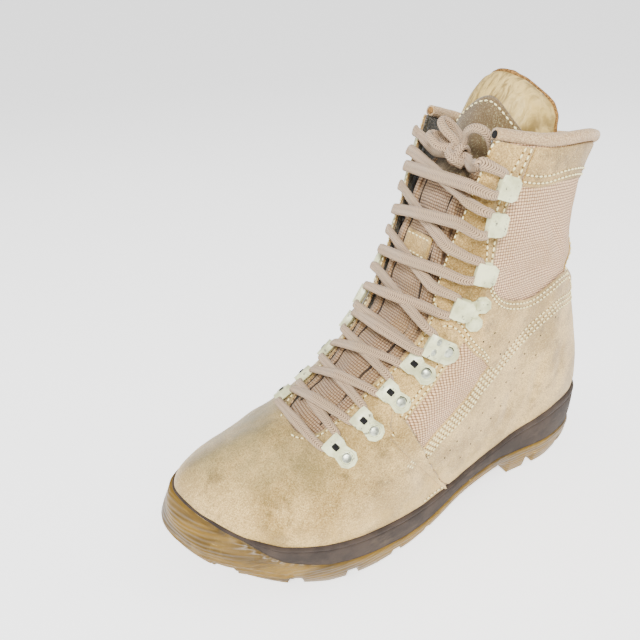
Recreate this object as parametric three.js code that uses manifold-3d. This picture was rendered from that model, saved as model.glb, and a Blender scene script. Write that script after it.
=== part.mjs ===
// A left combat boot: a lugged rubber outsole with a toe bumper, a foam midsole, an insole, a hollow
// leather and fabric upper, a gusseted tongue, a padded collar binding, nine pairs of lace hardware
// and the lace. Millimetres, +X to the toe, +Y to the outer (lateral) side, +Z up, floor at z = 0.
import * as THREE from "three";
import Module from "manifold-3d";
import { mergeVertices } from "three/addons/utils/BufferGeometryUtils.js";

const wasm = await Module();
wasm.setup();

// ---------------------------------------------------------------- driving dimensions
const WALL = 2.6; // leather, foam and lining together
const GAP = 0.35; // between neighbouring pieces
const RIM_HEIGHT = 4.5; // how far the midsole climbs the upper
const RIM_WIDTH = 3.6; // the sole's edge outside the upper, all round its top
const LUG_DEPTH = 5;
const INSOLE_THICK = 4.5;
const TONGUE_THICK = 5;
const TONGUE_TUCK = 21; // how far the tongue's wings reach under the eyestays
const LACE_WIDTH = 5.4;
const LACE_THICK = 2.6;
const BINDING_WIDTH = 5.6;
const BINDING_HEIGHT = 5;

const AROUND = 60; // steps round the shoe
const UP = 10; // steps up the wall

// Rows of named columns.
const table = (columns, rows) =>
  rows.map((row) => Object.fromEntries(columns.split(" ").map((name, k) => [name, row[k]])));

// The last. One row for each wall section, from the heel's back to the toe's tip, lateral and medial alike.
// x, lat, med: the sole's edge from above. lx, ly, lz and mx, my, mz: the wall's top edge on each side.
// out, up: where the wall's curve heads from the sole. fx, side, fz: where it comes from at the top edge.
const LAST = table(
  "at x lat med lx ly lz mx my mz out up fx side fz",
  [
    ["heel back",    -150, 2,    2,     -127,  2,    206,   -127, 2,   206, 5, 53, 26, 0,   -58],
    ["heel curve",   -139, 27,   -24,   -113,  19,   210,   -113, -15, 207, 4, 50, 20, -5,  -58],
    ["heel side",    -108, 39,   -37,   -91,   35,   216.5, -92,  -31, 211, 4, 48, 12, -12, -60],
    ["ankle",        -70,  39.5, -37,   -60,   38.5, 218.5, -63,  -37, 219, 4, 48, 8,  -4,  -62],
    ["collar front", -35,  43,   -37,   -27.5, 35,   224.5, -40,  -32, 226, 5, 50, 5,  8,   -60],
    ["waist",        0,    50.5, -39,   -13,   26,   168,   -14,  -22, 170, 2, 42, -4, 16,  -24],
    ["instep",       33,   56,   -47,   -0.5,  26,   130,   4,    -20, 131, 2, 32, 5,  18,  -19],
    ["ball",         68,   56.5, -56.4, 31,    24.5, 105,   33,   -16, 104, 2, 25, 9,  17,  -15],
    ["toe side",     105,  46,   -55,   57,    21.5, 85.5,  58,   -13, 88,  1, 19, 15, 13,  -11],
    ["toe corner",   135,  24,   -42,   68,    14,   80.5,  68,   -6,  84,  0, 16, 26, 5,   -6],
    ["toe tip",      150,  -12,  -12,   71,    4,    82,    71,   4,   82,  1, 16, 34, -6,  -3],
  ]);
const CORNER_ROW = 4; // the collar meets the eyestay here, at a sharp corner
const KNOTS = 2 * (LAST.length - 1);

// The sole seen from the side: heights at each x of the tread, of the line between rubber and foam, and of
// the foam's rim round the upper. `under` is how far the tread's edge tucks in under the side, and `inset`
// how far the upper's foot stands inside it.
const SIDE = table(
  "x ground gum rim under inset",
  [
    [-152, 5,   17,   45.5, 5,  3.6],
    [-140, 0,   17,   45.5, 3,  3.6],
    [-110, 0,   18,   45,   2,  3.6],
    [-72,  0,   19,   36,   2,  3.6],
    [-60,  11,  21,   32.5, 2,  3.6],
    [-20,  8,   15.5, 25.5, 3,  3.6],
    [4,    2,   10,   25,   2,  3.6],
    [20,   0,   10,   26,   2,  3.6],
    [45,   0,   13,   28.5, 2,  3.6],
    [77,   0,   18.5, 33,   4,  3.6],
    [100,  1.5, 27,   37.5, 8,  4.5],
    [118,  4.5, 39,   42,   11, 7.5],
    [135,  9,   46,   48,   12, 10.5],
    [151,  17,  52,   53.5, 12, 11.5],
  ]);

// Hardware from the toe up. The rivet or pad of each piece sits on the wall section at `row` of LAST, at
// `back` millimetres down that section from the top edge.
const HARDWARE = [
  { kind: "loop", row: { lateral: 7.26, medial: 7.73 }, back: { lateral: 31.5, medial: 16.6 } },
  { kind: "loop", row: { lateral: 6.84, medial: 7.28 }, back: { lateral: 27.5, medial: 14.5 } },
  { kind: "loop", row: { lateral: 6.42, medial: 6.72 }, back: { lateral: 24, medial: 14.5 } },
  { kind: "loop", row: { lateral: 5.91, medial: 6.15 }, back: { lateral: 24.5, medial: 15 } },
  { kind: "lock", row: { lateral: 5.22, medial: 5.66 }, back: { lateral: 37.9, medial: 17 } },
  { kind: "twin", row: { lateral: 4.68, medial: 5 }, back: { lateral: 40.8, medial: 24 } },
  { kind: "hook", row: { lateral: 4.11, medial: 4.4 }, back: { lateral: 53.3, medial: 36 } },
  { kind: "hook", row: { lateral: 3.96, medial: 4.05 }, back: { lateral: 36.4, medial: 32 } },
  { kind: "hook", row: { lateral: 3.78, medial: 3.85 }, back: { lateral: 18.6, medial: 15 } },
];

// ---------------------------------------------------------------- curves
const V = (x, y, z) => new THREE.Vector3(x, y, z);

// Values at the knots round the shoe: lateral rows from heel to toe, then medial rows back to the heel.
const roundKnots = (lateral, medial = lateral) =>
  Array.from({ length: KNOTS }, (_, k) =>
    k < LAST.length ? LAST[k][lateral] : LAST[KNOTS - k][medial]);

// A smooth closed curve through the knots. u runs from 0 to 1; corners lists knots where it may turn sharply.
function around(values, corners = []) {
  const n = values.length;
  return (u) => {
    const t = (((u % 1) + 1) % 1) * n;
    const i = Math.min(Math.floor(t), n - 1);
    const j = (i + 1) % n;
    const f = t - i;
    const a = values[i];
    const b = values[j];
    const startSlope = corners.includes(i) ? b - a : (b - values[(i + n - 1) % n]) / 2;
    const endSlope = corners.includes(j) ? b - a : (values[(j + 1) % n] - a) / 2;
    return a * (1 + 2 * f) * (1 - f) ** 2 + startSlope * f * (1 - f) ** 2
      + b * f * f * (3 - 2 * f) + endSlope * f * f * (f - 1);
  };
}

// A column of SIDE at x, on straight lines between rows.
function sideAt(column, x) {
  const at = THREE.MathUtils.clamp(x, SIDE[0].x, SIDE.at(-1).x);
  const k = Math.max(1, SIDE.findIndex((r) => r.x >= at));
  const low = SIDE[k - 1];
  const high = SIDE[k];
  return THREE.MathUtils.mapLinear(at, low.x, high.x, low[column], high[column]);
}

const CORNERS = [CORNER_ROW, KNOTS - CORNER_ROW];
const edgeX = around(roundKnots("x"));
const edgeY = around(roundKnots("lat", "med"));
const topX = around(roundKnots("lx", "mx"), CORNERS);
const topY = around(roundKnots("ly", "my"), CORNERS);
const topZ = around(roundKnots("lz", "mz"), CORNERS);
const footOut = around(roundKnots("out"));
const footUp = around(roundKnots("up"));
const topForward = around(roundKnots("fx"));
const topDown = around(roundKnots("fz"));
const topSide = around(roundKnots("side").map((s, k) => (k > LAST.length - 1 ? -s : s)));

// The sole's edge from above, moved inwards by inset.
function edge(u, inset = 0) {
  const d = 1e-3;
  const along = new THREE.Vector2(edgeX(u + d) - edgeX(u - d), edgeY(u + d) - edgeY(u - d));
  along.normalize();
  return { x: edgeX(u) + along.y * inset, y: edgeY(u) - along.x * inset, outX: -along.y, outY: along.x };
}

// The upper's outer face: u round the shoe, h from 0 at the sole to 1 at the top edge.
function face(u, h) {
  const e = edge(u, sideAt("inset", edgeX(u)));
  const seat = sideAt("rim", edgeX(u)) - RIM_HEIGHT;
  const foot = V(e.x, e.y, seat);
  const top = V(topX(u), topY(u), topZ(u));
  const rise = V(e.x + e.outX * footOut(u), e.y + e.outY * footOut(u), seat + footUp(u));
  const fall = V(top.x + topForward(u), top.y + topSide(u), top.z + topDown(u));
  return new THREE.CubicBezierCurve3(foot, rise, fall, top).getPoint(h);
}

// Outward normal, and the directions round the shoe and up the wall.
function frameAt(u, h) {
  const d = 2e-3;
  const round = face(u + d, h).sub(face(u - d, h)).normalize();
  const rising = face(u, Math.min(1, h + d)).sub(face(u, Math.max(0, h - d))).normalize();
  return { round, rising, normal: rising.clone().cross(round).normalize() };
}

// The wall's face moved outwards by `off`.
const wall = (u, h, off = 0) => face(u, h).addScaledVector(frameAt(u, h).normal, off);

// The h that lies `back` millimetres from the top edge, down the wall.
function hBack(u, back) {
  let h = 1;
  let gone = 0;
  let last = face(u, 1);
  while (gone < back && h > 0) {
    h -= 0.005;
    const next = face(u, h);
    gone += next.distanceTo(last);
    last = next;
  }
  return h;
}

// ---------------------------------------------------------------- solids
const steps = (n, f) => Array.from({ length: n }, (_, i) => f(i));
const ring = (f) => steps(AROUND, (i) => f(i / AROUND));

function geometry(points, triangles) {
  const g = new THREE.BufferGeometry().setFromPoints(points);
  g.setIndex(triangles);
  return g;
}

// Quads between two rows of points, first and second given by their first index.
const band = (a, b, n, closed = true) =>
  steps(closed ? n : n - 1, (i) => {
    const j = (i + 1) % n;
    return [a + i, b + i, b + j, a + i, b + j, a + j];
  }).flat();

// A closed solid through rings of equal length, lowest first, its ends capped by strips from side to side.
function stack(rings) {
  const n = rings[0].length;
  const last = (rings.length - 1) * n;
  const triangles = rings.slice(1).flatMap((_, k) => band(k * n, (k + 1) * n, n));
  for (let i = 0; i < n / 2; i++) {
    const [a, b] = [i, i + 1];
    const [c, d] = [(n - i) % n, n - i - 1];
    if (a !== c) triangles.push(a, b, c, last + a, last + c, last + b);
    if (b !== d) triangles.push(b, d, c, last + b, last + c, last + d);
  }
  return geometry(rings.flat(), triangles);
}

// A closed solid whose rings close on each other, as a hollow wall does.
function hollow(rings) {
  const n = rings[0].length;
  const m = rings.length;
  return geometry(rings.flat(), rings.map((_, k) => band(k * n, ((k + 1) % m) * n, n)).flat());
}

// A closed solid along open sections, each a loop of equal length, with flat fans at both ends.
function loft(sections) {
  const n = sections[0].length;
  const last = (sections.length - 1) * n;
  const triangles = sections.slice(1).flatMap((_, k) => band(k * n, (k + 1) * n, n));
  for (let i = 1; i < n - 1; i++) triangles.push(0, i, i + 1, last, last + i + 1, last + i);
  return geometry(sections.flat(), triangles);
}

// The geometry as a manifold-3d solid facing outwards, for cutting and joining.
function solid(g) {
  const bare = g.index ? g.toNonIndexed() : g.clone();
  bare.deleteAttribute("normal");
  bare.deleteAttribute("uv");
  const merged = mergeVertices(bare, 1e-3);
  const vertProperties = merged.attributes.position.array;
  const build = (triVerts) => new wasm.Manifold(new wasm.Mesh({ numProp: 3, vertProperties, triVerts }));
  const index = new Uint32Array(merged.index.array);
  const made = build(index);
  return made.volume() < 0 ? build(index.reverse()) : made;
}

// The solid as a geometry, its slivers closed up.
const SLIVER = 0.03;
function fromSolid(s) {
  const mesh = s.simplify(SLIVER).getMesh();
  const n = mesh.numProp;
  const points = steps(mesh.numVert, (i) => V(...mesh.vertProperties.slice(i * n, i * n + 3)));
  return geometry(points, Array.from(mesh.triVerts));
}

const boot = new THREE.Group();
boot.name = "combat_boot";

const FINISH = {
  gum: new THREE.MeshStandardMaterial({ color: 0xb08a48, roughness: 0.55 }),
  foam: new THREE.MeshStandardMaterial({ color: 0x7d7068, roughness: 0.8 }),
  suede: new THREE.MeshStandardMaterial({ color: 0xc2a67e, roughness: 0.95 }),
  lining: new THREE.MeshStandardMaterial({ color: 0x6d6a5c, roughness: 1 }),
  mesh: new THREE.MeshStandardMaterial({ color: 0xbfa68c, roughness: 0.9 }),
  knit: new THREE.MeshStandardMaterial({ color: 0xc7b8a3, roughness: 1 }),
  paint: new THREE.MeshStandardMaterial({ color: 0xd8dbc8, roughness: 0.35, metalness: 0.3 }),
  cord: new THREE.MeshStandardMaterial({ color: 0xbba997, roughness: 0.9 }),
};

function add(name, shape, finish) {
  const mesh = new THREE.Mesh(shape, finish);
  mesh.name = name;
  boot.add(mesh);
  return mesh;
}

// ---------------------------------------------------------------- sole
const soleRing = (inset, height) => ring((u) => {
  const x = edgeX(u);
  const e = edge(u, inset(x));
  return V(e.x, e.y, height(x));
});
const gumTop = (x) => sideAt("gum", x);
const rimTop = (x) => sideAt("rim", x);
const ground = (x) => sideAt("ground", x);
const tuck = (x) => sideAt("under", x);

// The foam is flush with the rubber at the sides, and runs up behind the rubber bumper at the toe.
const behind = (x) => 2 * THREE.MathUtils.smoothstep(x, 104, 122);
const lean = (x) => sideAt("inset", x) - RIM_WIDTH;
const foamForm = (grow) => stack([
  soleRing((x) => 0.6 + behind(x) + lean(x) - grow, (x) => gumTop(Math.min(x, 77)) - grow),
  soleRing((x) => 0.6 + behind(x) + lean(x) - grow, (x) => rimTop(x) - 3),
  soleRing((x) => 1.4 + behind(x) * 0.6 + lean(x) - grow, (x) => rimTop(x) + grow * 20),
]);
// The room that the upper takes in the sole: its outer face, grown by the gap, from the seat upwards.
const pocket = () => stack([0, 0.04, 0.09, 0.14].map((h) => ring((u) => {
  const p = wall(u, h, GAP);
  return h === 0 ? p.setZ(face(u, 0).z - GAP) : p;
})));
const foam = solid(foamForm(0)).subtract(solid(pocket()));
add("midsole", fromSolid(foam), FINISH.foam);

// The rubber flares from the tread's edge to its full width on the way up.
const flare = (low, part) => soleRing((x) => tuck(x) * (1 - part) ** 2,
  (x) => low(x) + (Math.min(gumTop(x), 40) - 4 - low(x)) * part * 0.8);
const rubberForm = (low) => solid(stack([
  soleRing(tuck, low),
  flare(low, 0.4),
  flare(low, 1),
  soleRing((x) => lean(x) * 0.4, (x) => gumTop(x) - 4),
  soleRing((x) => lean(x) + behind(x) * 0.4, gumTop),
]));

// A tread block: a prism over a loop of points on the floor plan.
function block(loop) {
  const shape = new THREE.Shape(loop.map(([x, y]) => new THREE.Vector2(x, y)));
  const g = new THREE.ExtrudeGeometry(shape, { depth: 24, bevelEnabled: false, steps: 1 });
  return solid(g.translate(0, 0, -1));
}
// A block on the tread's edge between two places round it, `deep` millimetres wide, its inner end slanted.
function edgeBlock(from, to, deep, slant) {
  const at = (u, inset) => [edge(u, inset).x, edge(u, inset).y];
  const mid = (from + to) / 2;
  return block([at(from, -2), at(mid, -2), at(to, -2), at(to + slant, deep), at(from + slant, deep)]);
}
// Places round the edge where each block starts and ends: the heel's blocks, then the forefoot's.
const EDGE_BLOCKS = {
  lateral: [
    [0.028, 0.072], [0.082, 0.118], [0.128, 0.148],
    [0.262, 0.292], [0.302, 0.337], [0.347, 0.381], [0.391, 0.43],
  ],
  medial: [
    [0.928, 0.972], [0.882, 0.918], [0.852, 0.872],
    [0.708, 0.738], [0.663, 0.698], [0.619, 0.653], [0.57, 0.609],
  ],
};
const CHEVRONS = [-112, 30, 52, 74, 96]; // x of each centre bar's point
const CHEVRON_BACK = 8;
const CHEVRON_HALF = 24;
const CHEVRON_LONG = 11;
const chevron = (x) => block([
  [x, 0], [x - CHEVRON_BACK, CHEVRON_HALF], [x - CHEVRON_BACK - CHEVRON_LONG, CHEVRON_HALF],
  [x - CHEVRON_LONG, 0], [x - CHEVRON_BACK - CHEVRON_LONG, -CHEVRON_HALF], [x - CHEVRON_BACK, -CHEVRON_HALF],
]);
const blocks = [
  ...EDGE_BLOCKS.lateral.map(([a, b]) => edgeBlock(a, b, 17, 0.006)),
  ...EDGE_BLOCKS.medial.map(([a, b]) => edgeBlock(a, b, 17, -0.006)),
  ...CHEVRONS.map(chevron),
  edgeBlock(0.45, 0.55, 20, 0),
];
// Everything under the grooves' floor, outside the blocks, is cut away.
const grooveFloor = (x) => ground(x) + LUG_DEPTH * (x > -60 && x < 4 ? 0.2 : 1);
const below = solid(stack([soleRing(() => -8, () => -6), soleRing(() => -8, grooveFloor)]));
const grooves = below.subtract(blocks.reduce((a, b) => a.add(b)));
const rubber = rubberForm(ground).subtract(grooves).subtract(solid(foamForm(GAP)));
add("outsole", fromSolid(rubber), FINISH.gum);

const insoleRing = (inset, z) => ring((u) => {
  const p = edge(u, sideAt("inset", edgeX(u)) + WALL + 1.2 + inset);
  return V(p.x, p.y, face(u, 0).z + z);
});
const insoleRings = [insoleRing(0, GAP), insoleRing(0, INSOLE_THICK - 1), insoleRing(1.2, INSOLE_THICK)];
add("insole", stack(insoleRings), FINISH.lining);

// ---------------------------------------------------------------- upper
const outer = steps(UP + 1, (k) => ring((u) => wall(u, k / UP)));
const inner = steps(UP + 1, (k) => ring((u) => wall(u, 1 - k / UP, -WALL)));
inner[UP] = ring((u) => wall(u, 0, -WALL).setZ(face(u, 0).z));
add("upper", hollow([...outer, ...inner]), FINISH.suede);

// ---------------------------------------------------------------- collar binding
// A padded roll on the collar's edge, from the lateral front corner round the back to the medial one.
const bindingStart = CORNER_ROW / KNOTS;
const bindingSections = steps(29, (k) => {
  const u = bindingStart * (1 - (2 * k) / 28);
  const { normal, rising } = frameAt(u, 1);
  const centre = wall(u, 1, -WALL / 2).addScaledVector(rising, GAP + BINDING_HEIGHT / 2);
  return steps(8, (i) => {
    const a = (2 * Math.PI * i) / 8;
    return centre.clone().addScaledVector(normal, (Math.cos(a) * BINDING_WIDTH) / 2)
      .addScaledVector(rising, (Math.sin(a) * BINDING_HEIGHT) / 2);
  });
});
add("collar_binding", fromSolid(solid(loft(bindingSections))), FINISH.knit);

// ---------------------------------------------------------------- tongue
// Ribs across the throat: wing, edge, centre, edge, wing. The lower ones follow the upper from beneath, and
// those above the collar are given here: x and z of the middle, then of the edges and of the wings.
const RIB_ROWS = [8.9, 8.5, 8, 7.5, 7, 6.5, 6, 5.6, 5.2, 4.8, 4.45];
const RIB_RAISE = 4.5; // how far the padded middle stands above the line between the eyestays
const TONGUE_TOP = table(
  "x z edgeX edgeZ med lat wingX wingZ wingMed wingLat",
  [
    [-40, 213, -45, 213, -18, 23, -62, 206, -24, 28],
    [-44, 228, -50, 227, -17, 25, -71, 217, -21, 30],
    [-49, 240, -56, 237, -16, 24, -76, 227, -19, 28],
    [-56, 249, -62, 245, -12, 17, -76, 235, -15, 23],
  ]);
const TONGUE_MIDDLE_Y = 3;
const TONGUE_AXIS_X = -78; // the shaft's middle, which the tongue's top wraps round
const ACROSS = 12;

function ribPoints(row, depth) {
  const u = row / KNOTS;
  const sides = [u, 1 - u].map((s) => ({
    edge: wall(s, hBack(s, 2.5), -WALL - GAP - 0.5 - depth),
    under: wall(s, hBack(s, TONGUE_TUCK / 2), -WALL - GAP - 0.9 - depth),
    wing: wall(s, hBack(s, TONGUE_TUCK), -WALL - GAP - 0.5 - depth),
  }));
  const middle = sides[0].edge.clone().add(sides[1].edge).multiplyScalar(0.5);
  const out = frameAt(u, 1).normal.clone().add(frameAt(1 - u, 1).normal).setY(0).normalize();
  const raise = RIB_RAISE * THREE.MathUtils.clamp((RIB_ROWS[0] - row) / 1.2, 0, 1);
  const [left, right] = sides.map((side) => [side.wing, side.under, side.edge]);
  return [...left, middle.addScaledVector(out, raise), ...right.reverse()];
}
function topRibPoints(r, depth) {
  const pull = (x, y, z) => {
    const p = V(x, y, z);
    return p.addScaledVector(V(TONGUE_AXIS_X, TONGUE_MIDDLE_Y, z).sub(p).normalize(), depth);
  };
  const between = (side, edgeY, wingY) =>
    pull((r.wingX + r.edgeX) / 2, (edgeY + wingY) / 2 + side, (r.wingZ + r.edgeZ) / 2);
  return [
    pull(r.wingX, r.wingLat, r.wingZ), between(1, r.lat, r.wingLat), pull(r.edgeX, r.lat, r.edgeZ),
    pull(r.x, TONGUE_MIDDLE_Y, r.z),
    pull(r.edgeX, r.med, r.edgeZ), between(-1, r.med, r.wingMed), pull(r.wingX, r.wingMed, r.wingZ),
  ];
}
const ribCurve = (points) => new THREE.CatmullRomCurve3(points, false, "centripetal").getPoints(ACROSS);
const ribSections = [
  ...RIB_ROWS.map((row) => [ribPoints(row, 0), ribPoints(row, TONGUE_THICK)]),
  ...TONGUE_TOP.map((r) => [topRibPoints(r, 0), topRibPoints(r, TONGUE_THICK)]),
].map(([front, back]) => [...ribCurve(front), ...ribCurve(back).reverse()]);
add("tongue", loft(ribSections), FINISH.mesh);

// ---------------------------------------------------------------- lace hardware
const PLATE = 1.2; // sheet thickness
const CURL_HIGH = 5.2; // the folded end that the lace runs through
const CURL_LONG = 6.4;
const LOOP_WIDE = 11.5;
const LOCK_WIDE = 12.5;
const LOOP_LONG = 20;
const RIVET = 4; // radius
const HOOK_WIDE = 11;
const HOOK_LONG = 11;
const HOOK_HIGH = 5.6;

// A strip bent along `path` (x, z pairs, its middle line) and `wide` millimetres across in y.
function bentStrip(path, wide) {
  const line = path.map(([x, z]) => new THREE.Vector2(x, z));
  const side = (s) => line.map((p, i) => {
    const d = line[Math.min(line.length - 1, i + 1)].clone().sub(line[Math.max(0, i - 1)]).normalize();
    return p.clone().add(new THREE.Vector2(-d.y, d.x).multiplyScalar((s * PLATE) / 2));
  });
  const section = new THREE.Shape([...side(1), ...side(-1).reverse()]);
  const g = new THREE.ExtrudeGeometry(section, { depth: wide, bevelEnabled: false });
  return solid(g.rotateX(Math.PI / 2).translate(0, wide / 2, 0));
}
const rivet = (x, y, base) => {
  const head = new THREE.CylinderGeometry(RIVET - 0.8, RIVET, 1.4, 8).rotateX(Math.PI / 2);
  return solid(head.translate(x, y, base + 0.7));
};
// A plan outline through the sheet, to round and pierce it.
function cutter(loop, low = -3, high = 12) {
  const shape = new THREE.Shape(loop.map(([x, y]) => new THREE.Vector2(x, y)));
  const g = new THREE.ExtrudeGeometry(shape, { depth: high - low, bevelEnabled: false });
  return solid(g.translate(0, 0, low));
}
const arc = (cx, cy, r, from, to, n) => steps(n + 1, (i) => {
  const a = THREE.MathUtils.degToRad(from + ((to - from) * i) / n);
  return [cx + r * Math.cos(a), cy + r * Math.sin(a)];
});

// The folded end: the strip rises from the leather at the throat side and turns back over itself.
const CURL_MIDDLE = CURL_HIGH / 2;
const CURL = [
  [CURL_LONG - 1, PLATE / 2],
  ...arc(CURL_MIDDLE, CURL_MIDDLE + 0.1, CURL_MIDDLE - PLATE / 2 + 0.1, 270, 90, 3),
  [CURL_LONG, CURL_HIGH - PLATE / 2],
];
function laceLoop() {
  const path = [...CURL, [CURL_LONG + 2.4, PLATE * 1.6], [LOOP_LONG, PLATE / 2 + 0.2]];
  const outline = cutter([
    [-1, -LOOP_WIDE / 2], [CURL_LONG, -LOOP_WIDE / 2], [9.5, -4.4], ...arc(LOOP_LONG - 6, 0, 5.8, -75, 75, 4),
    [9.5, 4.4], [CURL_LONG, LOOP_WIDE / 2], [-1, LOOP_WIDE / 2],
  ]);
  return bentStrip(path, LOOP_WIDE).intersect(outline).add(rivet(LOOP_LONG - 6, 0, PLATE));
}
function lockLoop() {
  const path = [
    ...CURL, [CURL_LONG + 4, CURL_HIGH - 1.6], [CURL_LONG + 6, PLATE * 1.4], [LOOP_LONG + 1, PLATE / 2 + 0.2],
  ];
  const outline = cutter([
    [-1, -LOCK_WIDE / 2], [16, -LOCK_WIDE / 2], ...arc(LOOP_LONG - 4, 0, 5, -60, 60, 4),
    [16, LOCK_WIDE / 2], [-1, LOCK_WIDE / 2],
  ]);
  return bentStrip(path, LOCK_WIDE).intersect(outline).add(rivet(LOOP_LONG - 6, 0, PLATE));
}
// An open hook: its foot lies on the leather and its plate turns back over, open away from the throat.
function openHook() {
  const path = [
    [HOOK_LONG - 2, PLATE / 2], [3, PLATE / 2],
    ...arc(3, HOOK_HIGH / 2, HOOK_HIGH / 2 - PLATE / 2, 270, 90, 3),
    [HOOK_LONG, HOOK_HIGH - PLATE / 2 + 0.3],
  ];
  const half = HOOK_WIDE / 2;
  const outline = cutter([
    [-1, 1 - half], [1, -half], [HOOK_LONG - 2.5, -half], [HOOK_LONG + 1, 2.5 - half],
    [HOOK_LONG + 1, half - 2.5], [HOOK_LONG - 2.5, half], [1, half], [-1, half - 1],
  ]);
  return bentStrip(path, HOOK_WIDE).intersect(outline);
}
// A hook whose foot spreads to two riveted lobes.
const LOBE = 4.6; // radius
const LOBE_X = 15;
const LOBE_Y = 5.2;
function twinHook() {
  const disc = new THREE.CylinderGeometry(LOBE, LOBE, PLATE + 0.2, 8).rotateX(Math.PI / 2);
  const lobe = (y) =>
    solid(disc.clone().translate(LOBE_X, y, PLATE / 2)).add(rivet(LOBE_X, y, PLATE));
  const spread = cutter([[7, -4], [LOBE_X, -8], [LOBE_X, 8], [7, 4]], 0.1, PLATE - 0.1);
  return openHook().add(spread).add(lobe(-LOBE_Y)).add(lobe(LOBE_Y));
}
const MAKE = { loop: laceLoop, lock: lockLoop, twin: twinHook, hook: openHook };
// From each piece's throat side to its rivet or the middle of its pad, and the width of its folded end.
const CENTRE = { loop: LOOP_LONG - 6, lock: LOOP_LONG - 6, twin: 7, hook: HOOK_LONG / 2 };
const WIDE = { loop: LOOP_WIDE, lock: LOCK_WIDE, twin: HOOK_WIDE, hook: HOOK_WIDE };
const HARDWARE_LIFT = 0.75; // clear of the curved leather

// Seats up one side: origin on the wall, z off the leather, x away from the throat, y along the row.
function seats(side) {
  const spots = HARDWARE.map(({ row, back }) => {
    const u = side === "lateral" ? row.lateral / KNOTS : 1 - row.medial / KNOTS;
    const h = hBack(u, back[side]);
    return { origin: face(u, h), z: frameAt(u, h).normal };
  });
  return spots.map(({ origin, z }, i) => {
    const y = spots[Math.min(i + 1, spots.length - 1)].origin.clone().sub(spots[Math.max(i - 1, 0)].origin);
    y.addScaledVector(z, -y.dot(z)).normalize().multiplyScalar(side === "lateral" ? 1 : -1);
    const up = side === "lateral" ? 1 : -1;
    return { kind: HARDWARE[i].kind, origin, x: y.clone().cross(z).normalize(), y, z, up };
  });
}
const SEATS = { lateral: seats("lateral"), medial: seats("medial") };
for (const [side, row] of Object.entries(SEATS)) {
  row.forEach(({ kind, origin, x, y, z }, i) => {
    const mesh = add(`${kind}_${i + 1}_${side}`, fromSolid(MAKE[kind]()), FINISH.paint);
    mesh.position.copy(origin).addScaledVector(z, HARDWARE_LIFT).addScaledVector(x, -CENTRE[kind]);
    mesh.quaternion.setFromRotationMatrix(new THREE.Matrix4().makeBasis(x, y, z));
  });
}

// ---------------------------------------------------------------- lace
// A flat lace through points, its broad face turned to `out`.
function flatLace(points, out, pieces) {
  const curve = new THREE.CatmullRomCurve3(points, false, "centripetal");
  return loft(steps(pieces + 1, (k) => {
    const p = curve.getPoint(k / pieces);
    const along = curve.getTangent(k / pieces);
    const side = along.clone().cross(out).normalize();
    const off = side.clone().cross(along).normalize();
    return [[1, 1], [-1, 1], [-1, -1], [1, -1]].map(([a, b]) =>
      p.clone().addScaledVector(side, (a * LACE_WIDTH) / 2).addScaledVector(off, (b * LACE_THICK) / 2));
  }));
}
const LACE_HEIGHT = 4; // over the leather beside the hardware
const EDGE_HEIGHT = 3.2; // over the eyestay's edge
const LACE_ARCH = 5.5; // over the line between the edges, on the padded tongue
const LACE_CLEAR = 3.4; // from the hardware's throat side

// Where the lace leaves a piece towards the throat, by its upper (1) or lower (-1) corner.
function outlet({ kind, origin, x, y, z, up }, end) {
  return origin.clone().addScaledVector(x, -CENTRE[kind] - LACE_CLEAR).addScaledVector(z, LACE_HEIGHT)
    .addScaledVector(y, (up * end * WIDE[kind]) / 2);
}
// The lace's way over the eyestay's edge next to a point, from a hook set back from that edge.
function overEdge(point, side) {
  const spots = steps(241, (k) => {
    const row = CORNER_ROW + 0.05 + k / 45;
    const u = side === "lateral" ? row / KNOTS : 1 - row / KNOTS;
    return { u, p: face(u, 1) };
  });
  const { u, p } = spots.reduce((a, b) => (a.p.distanceTo(point) < b.p.distanceTo(point) ? a : b));
  const out = frameAt(u, 0.99).normal;
  return p.addScaledVector(out, EDGE_HEIGHT).add(V(1, 0, 0.5));
}
const route = (seat, end, side) => {
  const p = outlet(seat, end);
  return seat.kind === "hook" || seat.kind === "twin" ? [p, overEdge(p, side)] : [p];
};
function crossing(from, to, ends, sides) {
  const start = route(from, ends[0], sides[0]);
  const finish = route(to, ends[1], sides[1]).reverse();
  const out = from.z.clone().add(to.z).setY(0).normalize();
  const middle = start.at(-1).clone().lerp(finish[0], 0.5).addScaledVector(out, LACE_ARCH - EDGE_HEIGHT);
  return solid(flatLace([...start, middle, ...finish], out, 4 + start.length + finish.length - 2));
}
const { lateral, medial } = SEATS;
const bar = crossing(lateral[0], medial[0], [-1, -1], ["lateral", "medial"]);
add("lace_bar", fromSolid(bar), FINISH.cord);
for (let i = 0; i < HARDWARE.length - 1; i++) {
  const rising = crossing(lateral[i], medial[i + 1], [1, -1], ["lateral", "medial"]);
  const both = rising.add(crossing(medial[i], lateral[i + 1], [1, -1], ["medial", "lateral"]));
  add(`lace_crossing_${i + 1}`, fromSolid(both), FINISH.cord);
}

// The knot on the tongue, and the runs that reach it from the top hooks.
const KNOT = V(-30, 10, 213.7);
const KNOT_HALF = V(5.5, 7, 5.5);
const RUN_SAG = 3.5;
const knotBall = new THREE.SphereGeometry(1, 10, 6).scale(KNOT_HALF.x, KNOT_HALF.y, KNOT_HALF.z);
add("lace_knot", knotBall.translate(KNOT.x, KNOT.y, KNOT.z), FINISH.cord);
for (const [side, row] of Object.entries(SEATS)) {
  const reach = side === "lateral" ? 1 : -1;
  const end = KNOT.clone().add(V(0, reach * (KNOT_HALF.y + 2), -1));
  const way = route(row.at(-1), 1, side);
  const sag = way.at(-1).clone().lerp(end, 0.6).add(V(0, 0, -RUN_SAG));
  add(`lace_run_${side}`, flatLace([...way, sag, end], V(1, 0, 0.3), 6), FINISH.cord);
}

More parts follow.
